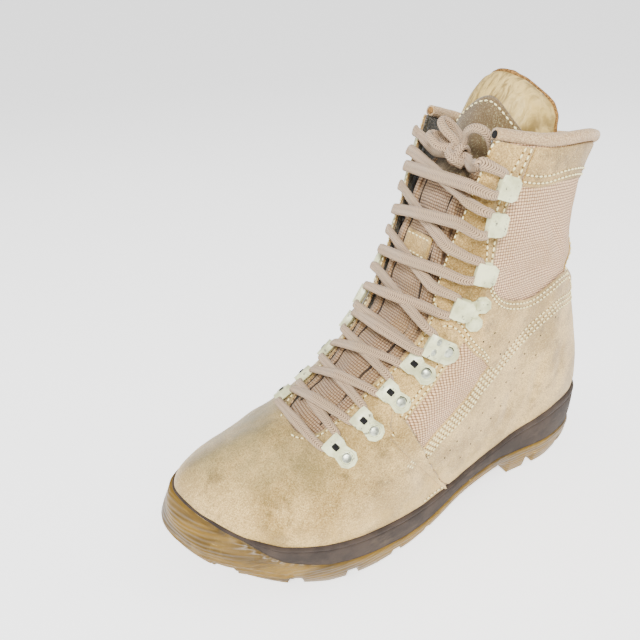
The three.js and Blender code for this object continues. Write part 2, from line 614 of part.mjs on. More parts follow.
// Two short loops stand up out of the knot, and the lace's end goes down inside the collar.
const CORD_RADIUS = 2.1;
const FREE_LACE = {
  lace_loop_upper: [
    [-28.5, 6, 220.8], [-26.5, 1.5, 224.5], [-27, -2.5, 227.5], [-29.5, -4, 228],
    [-32.5, -2, 226], [-34, 1.5, 223], [-33, 5.5, 220.6],
  ],
  lace_loop_lower: [
    [-24, 2, 217], [-22.5, -3, 219.5], [-23.5, -7.5, 221], [-26.5, -10, 221],
    [-29.5, -8.5, 220.5], [-30.5, -4.5, 219.5], [-28.8, -0.8, 218.6],
  ],
  lace_end: [
    [-30, 13, 220.8], [-28.5, 15.5, 225], [-28.5, 20.5, 227.5], [-30.5, 25, 226.5],
    [-33, 27, 222.5], [-35, 27, 217.5],
  ],
};
for (const [name, spots] of Object.entries(FREE_LACE)) {
  const path = new THREE.CatmullRomCurve3(spots.map((spot) => V(...spot)));
  const section = new THREE.Shape(arc(0, 0, CORD_RADIUS, 0, 315, 7).map(([x, y]) => new THREE.Vector2(x, y)));
  const tube = new THREE.ExtrudeGeometry(section, { steps: 8, extrudePath: path, bevelEnabled: false });
  add(name, tube, FINISH.cord);
}

export default boot;
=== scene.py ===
# %% [markdown]
# # A sand suede combat boot
# This lesson dresses the plain solids of a left combat boot with everything that makes it look worn
# and real: suede panels with cut edges and cream stitching, woven insets, a padded tongue, a braided
# lace, enamelled hardware, and a gum rubber sole under a foam midsole.
# The solids come in first as a fixed frame, so every piece is placed by the same numbers they use.

# %% Load the frame
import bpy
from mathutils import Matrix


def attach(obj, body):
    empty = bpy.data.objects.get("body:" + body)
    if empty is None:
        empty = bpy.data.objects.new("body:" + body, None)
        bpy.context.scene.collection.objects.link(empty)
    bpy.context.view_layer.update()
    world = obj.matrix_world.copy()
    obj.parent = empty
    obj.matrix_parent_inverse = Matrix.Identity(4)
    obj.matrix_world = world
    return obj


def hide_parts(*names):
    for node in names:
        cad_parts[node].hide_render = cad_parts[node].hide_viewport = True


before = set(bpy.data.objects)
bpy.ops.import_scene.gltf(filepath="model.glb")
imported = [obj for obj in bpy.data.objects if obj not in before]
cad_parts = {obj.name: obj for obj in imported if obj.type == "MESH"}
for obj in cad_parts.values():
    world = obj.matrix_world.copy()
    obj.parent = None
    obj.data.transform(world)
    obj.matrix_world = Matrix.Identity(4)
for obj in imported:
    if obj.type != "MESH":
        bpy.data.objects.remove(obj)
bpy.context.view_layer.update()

import math

import bmesh
import bpy
import numpy as np
from mathutils import Matrix, Vector, noise
from mathutils.bvhtree import BVHTree

MM = 0.001

# %% [markdown]
# ## Camera and light
# The camera stands in front of the toe, a little above the boot on its outer side, and is rolled by a
# couple of degrees. A large soft light from the front, a weaker one behind and a pale floor keep every
# grain of the suede readable without hard shadows.

# %% Camera
camera = bpy.data.objects.new("camera", bpy.data.cameras.new("camera"))
bpy.context.collection.objects.link(camera)
camera.location = (0.15208, 0.22633, 0.27594)
looking = Vector((-0.37784, -0.73864, -0.55826))
ROLL = math.radians(-2.574)
turn = looking.to_track_quat("-Z", "Y").to_matrix() @ Matrix.Rotation(ROLL, 3, "Z")
camera.rotation_euler = turn.to_euler()
camera.data.lens = 30.2
camera.data.shift_x = -0.0307
camera.data.shift_y = 0.0766
camera.data.clip_start = 0.01
bpy.context.scene.camera = camera


# %% Lights and floor
def area_light(name, place, aim, power, size):
    """A square soft light at a place, turned to its aim."""
    light = bpy.data.objects.new(name, bpy.data.lights.new(name, "AREA"))
    bpy.context.collection.objects.link(light)
    light.location = place
    light.rotation_euler = (Vector(aim) - Vector(place)).to_track_quat("-Z", "Y").to_euler()
    light.data.energy = power
    light.data.size = size


area_light("key", (0.7, 1.0, 1.3), (0, 0, 0.1), 60, 0.55)
area_light("fill", (1.3, -0.6, 0.9), (0, 0, 0.1), 6, 1.2)
area_light("rim", (-1.2, 0.3, 1.2), (0, 0, 0.15), 9, 0.9)
world = bpy.data.worlds.new("studio")
bpy.context.scene.world = world
world.use_nodes = True
world.node_tree.nodes["Background"].inputs["Color"].default_value = (1, 1, 1, 1)
world.node_tree.nodes["Background"].inputs["Strength"].default_value = 0.75


# %% [markdown]
# ## Mesh helpers
# Nearly every piece of a shoe is a sheet bent round a last. So the same few helpers make them all: a
# flat grid whose points are then moved by a formula, a tube swept along a curve, and a step that turns
# the result into an object that rides on the boot.

# %% Turning a bmesh into a piece
def mesh_from(bm, name):
    """Moves a bmesh into a new mesh."""
    mesh = bpy.data.meshes.new(name)
    bm.to_mesh(mesh)
    bm.free()
    return mesh


def piece_from(bm, name, materials):
    """Links the mesh as a piece of the boot, finished with the given materials."""
    mesh = mesh_from(bm, name)
    for material in materials:
        mesh.materials.append(material)
    mesh.polygons.foreach_set("use_smooth", [True] * len(mesh.polygons))
    piece = bpy.data.objects.new(name, mesh)
    bpy.context.collection.objects.link(piece)
    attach(piece, "root")
    print(name, len(mesh.polygons), "faces")
    return piece


# %% A grid moved by a formula
def warped_grid(columns, rows, place, wrap_s=False, wrap_t=False, flip=False):
    """A grid over s and t from 0 to 1. place(s, t) gives each point in millimetres and its UV in metres."""
    bm = bmesh.new()
    bmesh.ops.create_grid(bm, x_segments=columns, y_segments=rows, size=0.5, calc_uvs=True)
    bm.verts.ensure_lookup_table()
    flat = np.array([vert.co for vert in bm.verts]) + 0.5
    points, marks = place(flat[:, 0], flat[:, 1])
    uv = bm.loops.layers.uv.verify()
    for face in bm.faces:
        for loop in face.loops:
            loop[uv].uv = marks[loop.vert.index]
    for vert, point in zip(bm.verts, np.asarray(points) * MM):
        vert.co = point
    if wrap_s or wrap_t:
        bmesh.ops.remove_doubles(bm, verts=bm.verts, dist=1e-6)
    if flip:
        bmesh.ops.reverse_faces(bm, faces=bm.faces)
    return bm


# %% Curves through points
PATH_SAMPLES = 2000


def cubic(a, b, start, end, f):
    """Between a and b at f, leaving and arriving with the slopes start and end."""
    return (a * (1 + 2 * f) * (1 - f) ** 2 + start * f * (1 - f) ** 2
            + b * f * f * (3 - 2 * f) + end * f * f * (f - 1))


def lane(points, corners=()):
    """A smooth curve through points, as a function of s from 0 to 1. It may turn sharply at corners."""
    values = np.array(points, float)
    last = len(values) - 1
    corners = {0, last, *corners}

    def at(s):
        t = np.clip(np.asarray(s, float), 0, 1) * last
        i = np.minimum(t.astype(int), last - 1)
        f = (t - i)[..., None]
        a, b = values[i], values[i + 1]
        before, after = values[np.maximum(i - 1, 0)], values[np.minimum(i + 2, last)]
        sharp_a = np.isin(i, list(corners))[..., None]
        sharp_b = np.isin(i + 1, list(corners))[..., None]
        start = np.where(sharp_a, b - a, (b - before) / 2)
        end = np.where(sharp_b, b - a, (after - a) / 2)
        return cubic(a, b, start, end, f)

    return at


def lengths(line):
    """How far along a line each of its points lies."""
    return np.concatenate([[0], np.cumsum(np.linalg.norm(np.diff(line, axis=0), axis=1))])


def resample(marks, gone, values):
    """Values of each column at marks, where the rows lie at gone."""
    values = np.asarray(values)
    return np.stack([np.interp(marks, gone, values[:, k]) for k in range(values.shape[1])], -1)


def relax(line, times):
    """Rounds a line off, in place, by averaging each point with its neighbours."""
    for _ in range(times):
        line[1:-1] = (line[:-2] + 2 * line[1:-1] + line[2:]) / 4


def smooth_path(points, spacing):
    """Even points on a smooth curve through the given ones, in millimetres."""
    line = lane(points)(np.linspace(0, 1, PATH_SAMPLES))
    gone = lengths(line)
    count = max(2, int(round(gone[-1] / spacing)) + 1)
    return resample(np.linspace(0, gone[-1], count), gone, line)


# %% A tube swept along a line
def unit(vectors):
    return vectors / np.maximum(np.linalg.norm(vectors, axis=-1, keepdims=True), 1e-9)


def sweep(line, out, wide, thick, name, materials, around=14, square=2.6):
    """An oval tube along a line of points in millimetres, its broad face turned to `out`."""
    line = np.asarray(line, float)
    along = unit(np.gradient(line, axis=0))
    out = np.broadcast_to(np.asarray(out, float), line.shape)
    side = unit(np.cross(along, out))
    off = unit(np.cross(side, along))
    wide = np.broadcast_to(np.asarray(wide, float), len(line))
    thick = np.broadcast_to(np.asarray(thick, float), len(line))
    gone = lengths(line)
    index = np.arange(len(line))

    def place(s, t):
        k = s * (len(line) - 1)
        turn = 2 * math.pi * t
        cos, sin = np.cos(turn), np.sin(turn)
        a = np.sign(cos) * np.abs(cos) ** (2 / square)
        b = np.sign(sin) * np.abs(sin) ** (2 / square)
        pick = lambda values: resample(k, index, values)
        half_wide = np.interp(k, index, wide) / 2
        half_thick = np.interp(k, index, thick) / 2
        points = pick(line) + pick(side) * (a * half_wide)[:, None] + pick(off) * (b * half_thick)[:, None]
        round_it = t * (wide.mean() + thick.mean()) * 1.6
        return points, np.stack([np.interp(k, index, gone) * MM, round_it * MM], -1)

    bm = warped_grid(len(line) - 1, around, place, wrap_t=True)
    bmesh.ops.holes_fill(bm, edges=[edge for edge in bm.edges if edge.is_boundary], sides=0)
    bmesh.ops.recalc_face_normals(bm, faces=bm.faces)
    return piece_from(bm, name, materials)


# %% [markdown]
# ## Finishes
# Each finish is grown from a handful of nodes: noises at the scales of dirt, mottling and nap, weaves
# worked out from directions in space, a braid from the lace's own UV, and a bump that gives the light
# something to catch. Colours are given as they look on a screen and turned into linear light.

# %% A small node builder
PIVOT, CONTRAST, RICHNESS, BRIGHTEST = 0.52, 1.9, 1.6, 0.92


def shade(red, green, blue):
    """Screen colour from 0 to 255 as linear light, with the contrast that soft studio light takes away."""
    light = [c / 255 / 12.92 if c <= 10 else ((c / 255 + 0.055) / 1.055) ** 2.4 for c in (red, green, blue)]
    grey = sum(light) / 3
    deep = (grey / PIVOT) ** (CONTRAST - 1)
    return tuple(min(BRIGHTEST, max(0.0, (grey + (c - grey) * RICHNESS) * deep)) for c in light) + (1,)


class Finish:
    """One material, grown a node at a time."""

    def __init__(self, name, **sockets):
        self.material = bpy.data.materials.new(name)
        self.material.use_nodes = True
        self.nodes = self.material.node_tree.nodes
        self.links = self.material.node_tree.links
        self.shader = self.nodes["Principled BSDF"]
        for socket, value in sockets.items():
            self.shader.inputs[socket.replace("_", " ")].default_value = value
        self.object_place = self.add("ShaderNodeTexCoord").outputs["Object"]
        self.uv = self.add("ShaderNodeTexCoord").outputs["UV"]

    def add(self, kind, inputs=None, **settings):
        node = self.nodes.new(kind)
        for key, value in settings.items():
            setattr(node, key, value)
        for key, value in (inputs or {}).items():
            if isinstance(value, bpy.types.NodeSocket):
                self.links.new(value, node.inputs[key])
            else:
                node.inputs[key].default_value = value
        return node

    def noise(self, scale, detail=3.0, rough=0.55, place=None, distortion=0.0):
        inputs = {"Vector": place or self.object_place, "Scale": scale, "Detail": detail,
                  "Roughness": rough, "Distortion": distortion}
        return self.add("ShaderNodeTexNoise", inputs).outputs["Fac"]

    def cells(self, scale):
        node = self.add("ShaderNodeTexVoronoi", {"Vector": self.object_place, "Scale": scale})
        return node.outputs["Distance"]

    def calc(self, operation, first, second=0.0):
        return self.add("ShaderNodeMath", {0: first, 1: second}, operation=operation).outputs[0]

    def times(self, first, second):
        return self.calc("MULTIPLY", first, second)

    def waves(self, value, per_metre):
        return self.calc("ABSOLUTE", self.calc("SINE", self.times(value, per_metre)))

    def step(self, value, low, high, to_low=0.0, to_high=1.0):
        inputs = {"Value": value, "From Min": low, "From Max": high, "To Min": to_low, "To Max": to_high}
        return self.add("ShaderNodeMapRange", inputs, interpolation_type="SMOOTHSTEP").outputs[0]

    def mix(self, factor, first, second):
        inputs = {0: factor, 6: first, 7: second}
        return self.add("ShaderNodeMix", inputs, data_type="RGBA").outputs[2]

    def axes(self, place):
        return self.add("ShaderNodeSeparateXYZ", {0: place}).outputs

    def stretch(self, place, scale):
        return self.add("ShaderNodeMapping", {"Vector": place, "Scale": scale}).outputs[0]

    def bump(self, height, strength, distance, under=None):
        inputs = {"Height": height, "Strength": strength, "Distance": distance}
        if under is not None:
            inputs["Normal"] = under
        return self.add("ShaderNodeBump", inputs).outputs[0]

    def done(self, colour=None, roughness=None, normal=None):
        for socket, value in (("Base Color", colour), ("Roughness", roughness), ("Normal", normal)):
            if value is not None:
                self.links.new(value, self.shader.inputs[socket])
        return self.material


# %% [markdown]
# ### Suede
# Suede is the rough flesh side of the hide. Its nap scatters light, so it has no gloss but some sheen.
# Tiny fibres make a salt-and-pepper grain of about a third of a millimetre, the hide mottles over a
# centimetre, and wear greys the toe and goldens the sides by the sole.

# %% Suede
def suede(name, light, dark):
    f = Finish(name, Roughness=0.95, Sheen_Weight=0.25, Sheen_Roughness=0.6, Specular_IOR_Level=0.2)
    x, _, z = (f.axes(f.object_place)[k] for k in range(3))
    mottle = f.noise(38, 4, 0.62)
    nap = f.noise(2200, 2, 0.7)
    grain = f.noise(1150, 3, 0.65)
    colour = f.mix(f.step(mottle, 0.34, 0.66), shade(*dark), shade(*light))
    speckle = f.calc("ADD", f.times(nap, 0.5), f.times(grain, 0.5))
    colour = f.mix(f.step(speckle, 0.55, 0.4, 0, 0.6), colour, shade(132, 108, 72))
    colour = f.mix(f.step(speckle, 0.53, 0.66, 0, 0.35), colour, shade(232, 216, 180))
    worn = f.times(f.step(x, 0.015, 0.1), f.step(z, 0.05, 0.078))
    worn = f.times(worn, f.step(f.noise(24, 5, 0.7), 0.28, 0.62, 0.25, 1))
    colour = f.mix(f.times(worn, 0.75), colour, shade(142, 136, 108))
    stain = f.step(f.noise(55, 6, 0.75), 0.53, 0.68, 0, 0.5)
    colour = f.mix(stain, colour, shade(128, 112, 84))
    low = f.times(f.step(z, 0.055, 0.036), f.step(f.noise(90, 4), 0.4, 0.6, 0.3, 1))
    colour = f.mix(f.times(low, 0.35), colour, shade(206, 178, 128))
    rubbed = f.noise(420, 3, 0.7)
    normal = f.bump(rubbed, 0.35, 0.0006)
    normal = f.bump(nap, 0.6, 0.00035, normal)
    return f.done(colour, None, normal)


SUEDE = suede("suede", (210, 185, 146), (182, 157, 118))
SUEDE_WARM = suede("suede_ankle", (203, 176, 136), (176, 150, 111))
SUEDE_BROWN = suede("suede_tongue", (146, 127, 104), (126, 108, 86))


# %% [markdown]
# ### Woven cloth
# The insets are a coarse plain weave of about a millimetre and a half. Each thread shows as a small
# hump: the product of two sines along two directions in space, with the boot's medial side mirrored.
# Every second hump is painted darker as shade, because one set of threads lies lower, and the gaps
# between them are painted darkest, as painted shade.

# %% Woven cloth
def woven(name, light, dark, pitch, across, along):
    """A plain weave over two directions in space."""
    f = Finish(name, Roughness=0.85, Sheen_Weight=0.2, Specular_IOR_Level=0.25)
    x, y, z = (f.axes(f.object_place)[k] for k in range(3))
    folded = f.add("ShaderNodeCombineXYZ", {0: x, 1: f.calc("ABSOLUTE", y), 2: z}).outputs[0]
    a, b = (f.add("ShaderNodeVectorMath", {0: folded, 1: way}, operation="DOT_PRODUCT").outputs["Value"]
            for way in (across, along))
    wobble = f.step(f.noise(300, 2), 0.2, 0.8, -0.00012, 0.00012)
    threads = 1 / (pitch * MM)
    hump = f.times(*(f.waves(f.calc("ADD", v, wobble), math.pi * threads) for v in (a, b)))
    cells = f.add("ShaderNodeCombineXYZ", {0: f.times(a, threads), 1: f.times(b, threads)}).outputs[0]
    low_thread_shade = f.add("ShaderNodeTexChecker", {"Vector": cells, "Color1": (1, 1, 1, 1),
                                            "Color2": (0.9, 0.84, 0.78, 1), "Scale": 1.0}).outputs[0]
    # Painted shade: dark in the gaps between the humps, and darker on the lower set of threads through the
    # checker.
    colour = f.mix(f.step(hump, 0.1, 0.65), shade(*dark), shade(*light))
    colour = f.add("ShaderNodeMix", {0: 1.0, 6: colour, 7: low_thread_shade}, data_type="RGBA",
                   blend_type="MULTIPLY").outputs[2]
    tint = f.step(f.noise(45, 4), 0.35, 0.7, 0, 0.35)
    colour = f.mix(tint, colour, shade(176, 150, 118))
    fuzz = f.noise(2600, 2)
    normal = f.bump(hump, 0.75, 0.0007)
    normal = f.bump(fuzz, 0.25, 0.0002, normal)
    return f.done(colour, None, normal)


CLOTH = woven("woven_cloth", (224, 198, 172), (158, 128, 106), 1.5, (0.86, 0.5, 0.1), (-0.1, 0, 1))
SLOPE = (-0.52, 0, 0.854)  # up along the tongue
TONGUE_CLOTH = woven("tongue_cloth", (190, 168, 146), (146, 122, 103), 1.5, (0, 1, 0), SLOPE)


# %% Lining and knitted tape
def knitted(name, light, dark, pitch=0.9):
    """Soft knit: small loops that a cell pattern gives without any UV, with painted shade between the loops.
    """
    f = Finish(name, Roughness=1.0, Sheen_Weight=0.3, Specular_IOR_Level=0.1)
    loops = f.cells(1 / (pitch * MM))
    soft = f.noise(60, 4)
    # Painted shade: darker away from each loop's middle, where the knit lies low.
    colour = f.mix(f.step(loops, 0.15, 0.75), shade(*light), shade(*dark))
    colour = f.mix(f.step(soft, 0.4, 0.7, 0, 0.4), colour, shade(*dark))
    normal = f.bump(f.step(loops, 0.7, 0.1), 0.6, 0.0004)
    normal = f.bump(f.noise(1800, 2), 0.3, 0.0003, normal)
    return f.done(colour, None, normal)


LINING = knitted("lining", (120, 112, 96), (84, 82, 74))
KNIT = knitted("collar_knit", (206, 184, 156), (176, 154, 130), 0.75)
KNIT_GREY = knitted("grey_knit", (150, 142, 128), (96, 92, 84), 0.8)


# %% [markdown]
# ### Leather, raw edges and thread
# The tongue's top is a soft full-grain leather that has wrinkled where it bends, so it has a real gloss
# broken up by long fine wrinkles, whose troughs are painted darker as shade. Its raw edge shows the
# orange-brown core of the hide.

# %% Smooth leather
def smooth_leather():
    f = Finish("smooth_leather", Roughness=0.45, Specular_IOR_Level=0.45)
    wrinkle_place = f.stretch(f.object_place, (150, 330, 95))
    wrinkles = f.noise(1.0, 5, 0.62, wrinkle_place, 0.6)
    pores = f.cells(900.0)
    # Painted shade: the wrinkles' troughs are painted darker.
    colour = f.mix(f.step(wrinkles, 0.35, 0.62), shade(160, 140, 104), shade(202, 182, 142))
    colour = f.mix(f.step(f.noise(50, 4), 0.4, 0.7, 0, 0.45), colour, shade(196, 174, 126))
    rough = f.step(wrinkles, 0.3, 0.7, 0.58, 0.4)
    normal = f.bump(wrinkles, 0.7, 0.0016)
    normal = f.bump(pores, 0.2, 0.0002, normal)
    return f.done(colour, rough, normal)


def plain(name, light, dark, roughness, scale=700, strength=0.3, distance=0.0002, **sockets):
    """A finish with one grain, for thread, cut edges, shadows and cores."""
    f = Finish(name, Roughness=roughness, **sockets)
    grain = f.noise(scale, 3, 0.6)
    colour = f.mix(f.step(grain, 0.35, 0.65), shade(*dark), shade(*light))
    return f.done(colour, None, f.bump(grain, strength, distance))


LEATHER = smooth_leather()
THREAD = plain("thread", (238, 224, 192), (214, 198, 162), 0.7, 2500)
THREAD_DARK = plain("dark_thread", (96, 74, 62), (60, 46, 40), 0.8, 2500)
RAW_EDGE = plain("raw_edge", (176, 142, 106), (128, 98, 70), 0.9, 1200, 0.5, 0.0004)
# Painted shade: dark brown for the capsules between the stitches, where the needle holes lie.
NEEDLE_SHADE = plain("needle_hole_shade", (150, 126, 94), (134, 110, 80), 1.0)
# Painted shadow: near-black stands in for the shade inside holes, gaps and open ends.
HOLE_SHADE = plain("hole_shade", (44, 34, 28), (26, 20, 18), 1.0)


# %% [markdown]
# ### Enamelled metal and braided lace
# The hardware is sheet metal under thick cream enamel, glossy where it is whole and chipped down to dull
# metal where the lace has rubbed. The lace is a flat braid: its two sets of yarns cross in a herringbone,
# which a folded diagonal wave over the lace's UV gives, and the low places between the yarns are painted
# darker as shade.

# %% Enamel
def enamel():
    f = Finish("enamel", Roughness=0.38, Coat_Weight=0.25, Coat_Roughness=0.25)
    chips = f.times(f.step(f.noise(330, 4, 0.7), 0.6, 0.64), f.step(f.noise(90, 2), 0.42, 0.58))
    colour = f.mix(f.step(f.noise(120, 3), 0.35, 0.7), shade(206, 207, 180), shade(184, 184, 156))
    colour = f.mix(f.step(f.noise(600, 3), 0.62, 0.72, 0, 0.4), colour, shade(170, 156, 124))
    colour = f.mix(chips, colour, shade(126, 122, 112))
    rough = f.step(f.noise(260, 3), 0.3, 0.7, 0.3, 0.55)
    return f.done(colour, rough, f.bump(f.calc("SUBTRACT", f.noise(500, 2), chips), 0.25, 0.0002))


YARN_WIDE, RIB_WIDE = 1.2 * MM, 1.6 * MM


def braid():
    f = Finish("braid", Roughness=0.85, Sheen_Weight=0.2, Specular_IOR_Level=0.25)
    along, round_it = f.axes(f.uv)[0], f.axes(f.uv)[1]
    fold = f.calc("PINGPONG", round_it, RIB_WIDE)
    lines = f.calc("ADD", along, fold)
    yarn = f.waves(lines, math.pi / YARN_WIDE)
    rib = f.waves(round_it, math.pi / RIB_WIDE)
    height = f.calc("ADD", f.times(yarn, 0.72), f.times(rib, 0.28))
    # Painted shade: darker where the braid's height is low, between the yarns.
    colour = f.mix(f.step(height, 0.2, 0.7), shade(116, 97, 82), shade(190, 169, 148))
    colour = f.mix(f.step(f.noise(70, 4), 0.4, 0.7, 0, 0.4), colour, shade(176, 160, 138))
    normal = f.bump(height, 0.8, 0.0006)
    return f.done(colour, None, f.bump(f.noise(2600, 2), 0.3, 0.0002, normal))


ENAMEL = enamel()
BRAID = braid()


# %% [markdown]
# ### Rubber and foam
# The outsole is translucent amber gum rubber with long moulding marks and pale scuffs. The midsole is a
# dull grey-brown foam, blotched and streaked with paler dust.

# %% Rubber and foam
def gum():
    f = Finish("gum_rubber", Roughness=0.42, Subsurface_Weight=0.12, Subsurface_Scale=0.004,
               Specular_IOR_Level=0.45)
    f.shader.inputs["Subsurface Radius"].default_value = (1.0, 0.55, 0.2)
    _, _, z = (f.axes(f.object_place)[k] for k in range(3))
    flow = f.noise(1.0, 4, 0.6, f.stretch(f.object_place, (22, 22, 130)), 0.8)
    lines = f.add("ShaderNodeTexWave", {"Vector": f.stretch(f.object_place, (14, 14, 60)), "Scale": 2.2,
                                        "Distortion": 5.0, "Detail": 2.0}, bands_direction="Z").outputs["Fac"]
    colour = f.mix(f.step(flow, 0.32, 0.68), shade(122, 98, 58), shade(156, 128, 82))
    colour = f.mix(f.step(f.noise(75, 5, 0.7), 0.5, 0.72, 0, 0.45), colour, shade(166, 142, 100))
    colour = f.mix(f.step(z, 0.012, 0.0, 0, 0.5), colour, shade(150, 128, 92))
    scuff = f.step(f.noise(1.0, 5, 0.75, f.stretch(f.object_place, (60, 60, 420))), 0.62, 0.72, 0, 0.4)
    colour = f.mix(scuff, colour, shade(212, 192, 150))
    rough = f.step(flow, 0.3, 0.7, 0.36, 0.55)
    normal = f.bump(lines, 0.35, 0.0008)
    return f.done(colour, rough, f.bump(f.noise(500, 3), 0.2, 0.0003, normal))


def foam():
    f = Finish("midsole_foam", Roughness=0.8, Specular_IOR_Level=0.3)
    _, _, z = (f.axes(f.object_place)[k] for k in range(3))
    blotch = f.noise(60, 5, 0.65)
    colour = f.mix(f.step(blotch, 0.35, 0.68), shade(94, 84, 78), shade(110, 98, 90))
    dust = f.step(f.noise(1.0, 5, 0.7, f.stretch(f.object_place, (45, 45, 200))), 0.55, 0.72, 0, 0.35)
    colour = f.mix(dust, colour, shade(136, 122, 108))
    return f.done(colour, None, f.bump(f.noise(900, 3), 0.4, 0.0003))


GUM = gum()
FOAM = foam()
print("finishes", len(bpy.data.materials))

# %% Floor
FLOOR_HALF, FLAT_RADIUS, FLOOR_RISE, FLOOR_DROP = 20, 3, 0.09, 0.0004
floor_mesh = bmesh.new()
bmesh.ops.create_grid(floor_mesh, x_segments=60, y_segments=60, size=FLOOR_HALF)
for vert in floor_mesh.verts:
    vert.co.z = max(0.0, vert.co.xy.length - FLAT_RADIUS) * FLOOR_RISE
bmesh.ops.translate(floor_mesh, verts=floor_mesh.verts, vec=(0, 0, -FLOOR_DROP))
floor_data = mesh_from(floor_mesh, "floor")
floor = bpy.data.objects.new("floor", floor_data)
bpy.context.collection.objects.link(floor)
floor_data.materials.append(plain("pale_floor", (250, 250, 250), (248, 248, 248), 0.95, 3, 0.0, 0.0001,
                                  Emission_Color=(1, 1, 1, 1), Emission_Strength=1.2))

# %% [markdown]
# ## The knot and the free lace
# The lace ends in a small knot on the tongue. Two short loops stand up out of it, and the loose end
# goes down inside the collar. These are the only free cords on the boot, so each is swept along the
# same route as its plain solid, and its length is measured and printed.

# %% Free lace
LACE_ROUND = 4.2  # width of the slack lace, millimetres
KNOT = np.array([-30.0, 10.0, 213.7])
FREE_LACE = {
    "lace_loop_upper": [
        (-28.5, 6, 220.8), (-26.5, 1.5, 224.5), (-27, -2.5, 227.5), (-29.5, -4, 228),
        (-32.5, -2, 226), (-34, 1.5, 223), (-33, 5.5, 220.6),
    ],
    "lace_loop_lower": [
        (-24, 2, 217), (-22.5, -3, 219.5), (-23.5, -7.5, 221), (-26.5, -10, 221),
        (-29.5, -8.5, 220.5), (-30.5, -4.5, 219.5), (-28.8, -0.8, 218.6),
    ],
    "lace_end": [
        (-30, 13, 220.8), (-28.5, 15.5, 225), (-28.5, 20.5, 227.5), (-30.5, 25, 226.5),
        (-33, 27, 222.5), (-35, 27, 217.5),
    ],
}
CORD_PLAN = {}


def free_lace(name, spots):
    route = [KNOT + (0, 0, 3)] + [np.array(spot) for spot in spots]
    if name != "lace_end":
        route.append(KNOT + (0, 0, 2))
    line = smooth_path(route, 0.8)
    out = np.array([1.0, 0.2, 0.4])
    piece = sweep(line, out, LACE_ROUND, 3.0, name + "_braid", [BRAID], 12)
    length = float(np.linalg.norm(np.diff(line, axis=0), axis=1).sum()) * MM
    return piece, line * MM, length


for name, spots in FREE_LACE.items():
    CORD_PLAN[name] = free_lace(name, spots)
    print(name, "length", round(CORD_PLAN[name][2], 4))


# %% Knot
def closed_loop(centre, a, b):
    turn = np.linspace(0, 2 * math.pi, 40)
    return centre + np.outer(np.cos(turn), a) + np.outer(np.sin(turn), b)


knot_wraps = [
    (KNOT + (0.5, 2.0, 0), (3.6, 0.6, 0.5), (0, 0.8, 4.6)),
    (KNOT + (0.5, -2.6, 0), (3.6, -0.6, 0.5), (0, -1.0, 4.4)),
]
for k, (centre, a, b) in enumerate(knot_wraps):
    wrap = closed_loop(centre, a, b)
    normal = unit(wrap - centre)
    sweep(wrap, normal, 4.6, 2.6, f"lace_knot_wrap_{k + 1}", [BRAID], 12)
tucks = {
    "lace_knot_core": [(0, -8, -1), (1, -4, 0), (1.5, 0, 0.5), (1, 4, 0), (0, 8, -1)],
    "lace_knot_bridge": [(2, -5.5, 3.5), (4.6, -3, 1.5), (5.4, 0, 0), (4.6, 3, -1.5), (2, 5.5, -3.5)],
}
for name, spots in tucks.items():
    line = smooth_path([KNOT + spot for spot in spots], 0.8)
    sweep(line, (1, 0, 0.3), 4.8, 3.4, name, [BRAID], 12)
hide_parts("lace_knot")
for name, (piece, path, length) in CORD_PLAN.items():
    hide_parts(name)
    [tuple(p) for p in path]

# %% [markdown]
# ## The last
# A shoe is shaped over a last, so one table describes it: for wall sections from the heel's back to the
# toe's tip, where the sole's edge lies, where the wall's top edge is, and where the wall heads in
# between. A second table gives the sole's heights from the side. Smooth curves join the rows, and the
# function `wall` then turns any place (u round the boot, h up the wall) into a point in space.

# %% Tables of the last, millimetres
COLUMNS = "x lat med lx ly lz mx my mz out up fx side fz".split()
LAST = np.array([
    [-150, 2, 2, -127, 2, 206, -127, 2, 206, 5, 53, 26, 0, -58],
    [-139, 27, -24, -113, 19, 210, -113, -15, 207, 4, 50, 20, -5, -58],
    [-108, 39, -37, -91, 35, 216.5, -92, -31, 211, 4, 48, 12, -12, -60],
    [-70, 39.5, -37, -60, 38.5, 218.5, -63, -37, 219, 4, 48, 8, -4, -62],
    [-35, 43, -37, -27.5, 35, 224.5, -40, -32, 226, 5, 50, 5, 8, -60],
    [0, 50.5, -39, -13, 26, 168, -14, -22, 170, 2, 42, -4, 16, -24],
    [33, 56, -47, -0.5, 26, 130, 4, -20, 131, 2, 32, 5, 18, -19],
    [68, 56.5, -56.4, 31, 24.5, 105, 33, -16, 104, 2, 25, 9, 17, -15],
    [105, 46, -55, 57, 21.5, 85.5, 58, -13, 88, 1, 19, 15, 13, -11],
    [135, 24, -42, 68, 14, 80.5, 68, -6, 84, 0, 16, 26, 5, -6],
    [150, -12, -12, 71, 4, 82, 71, 4, 82, 1, 16, 34, -6, -3],
], float)
SIDE_COLUMNS = "x ground gum rim under inset".split()
SIDE = np.array([
    [-152, 5, 17, 45.5, 5, 3.6], [-140, 0, 17, 45.5, 3, 3.6], [-110, 0, 18, 45, 2, 3.6],
    [-72, 0, 19, 36, 2, 3.6], [-60, 11, 21, 32.5, 2, 3.6], [-20, 8, 15.5, 25.5, 3, 3.6],
    [4, 2, 10, 25, 2, 3.6], [20, 0, 10, 26, 2, 3.6], [45, 0, 13, 28.5, 2, 3.6],
    [77, 0, 18.5, 33, 4, 3.6], [100, 1.5, 27, 37.5, 8, 4.5], [118, 4.5, 39, 42, 11, 7.5],
    [135, 9, 46, 48, 12, 10.5], [151, 17, 52, 53.5, 12, 11.5],
])
RIM_HEIGHT = 4.5
RIM_WIDTH = 3.6
LAST_ROW = len(LAST) - 1
ROUND = 2 * LAST_ROW  # rows all the way round: the lateral side counts up, the medial side back down
CORNER_ROW = 4
GIRTH = 780.0  # round the sole's edge, millimetres


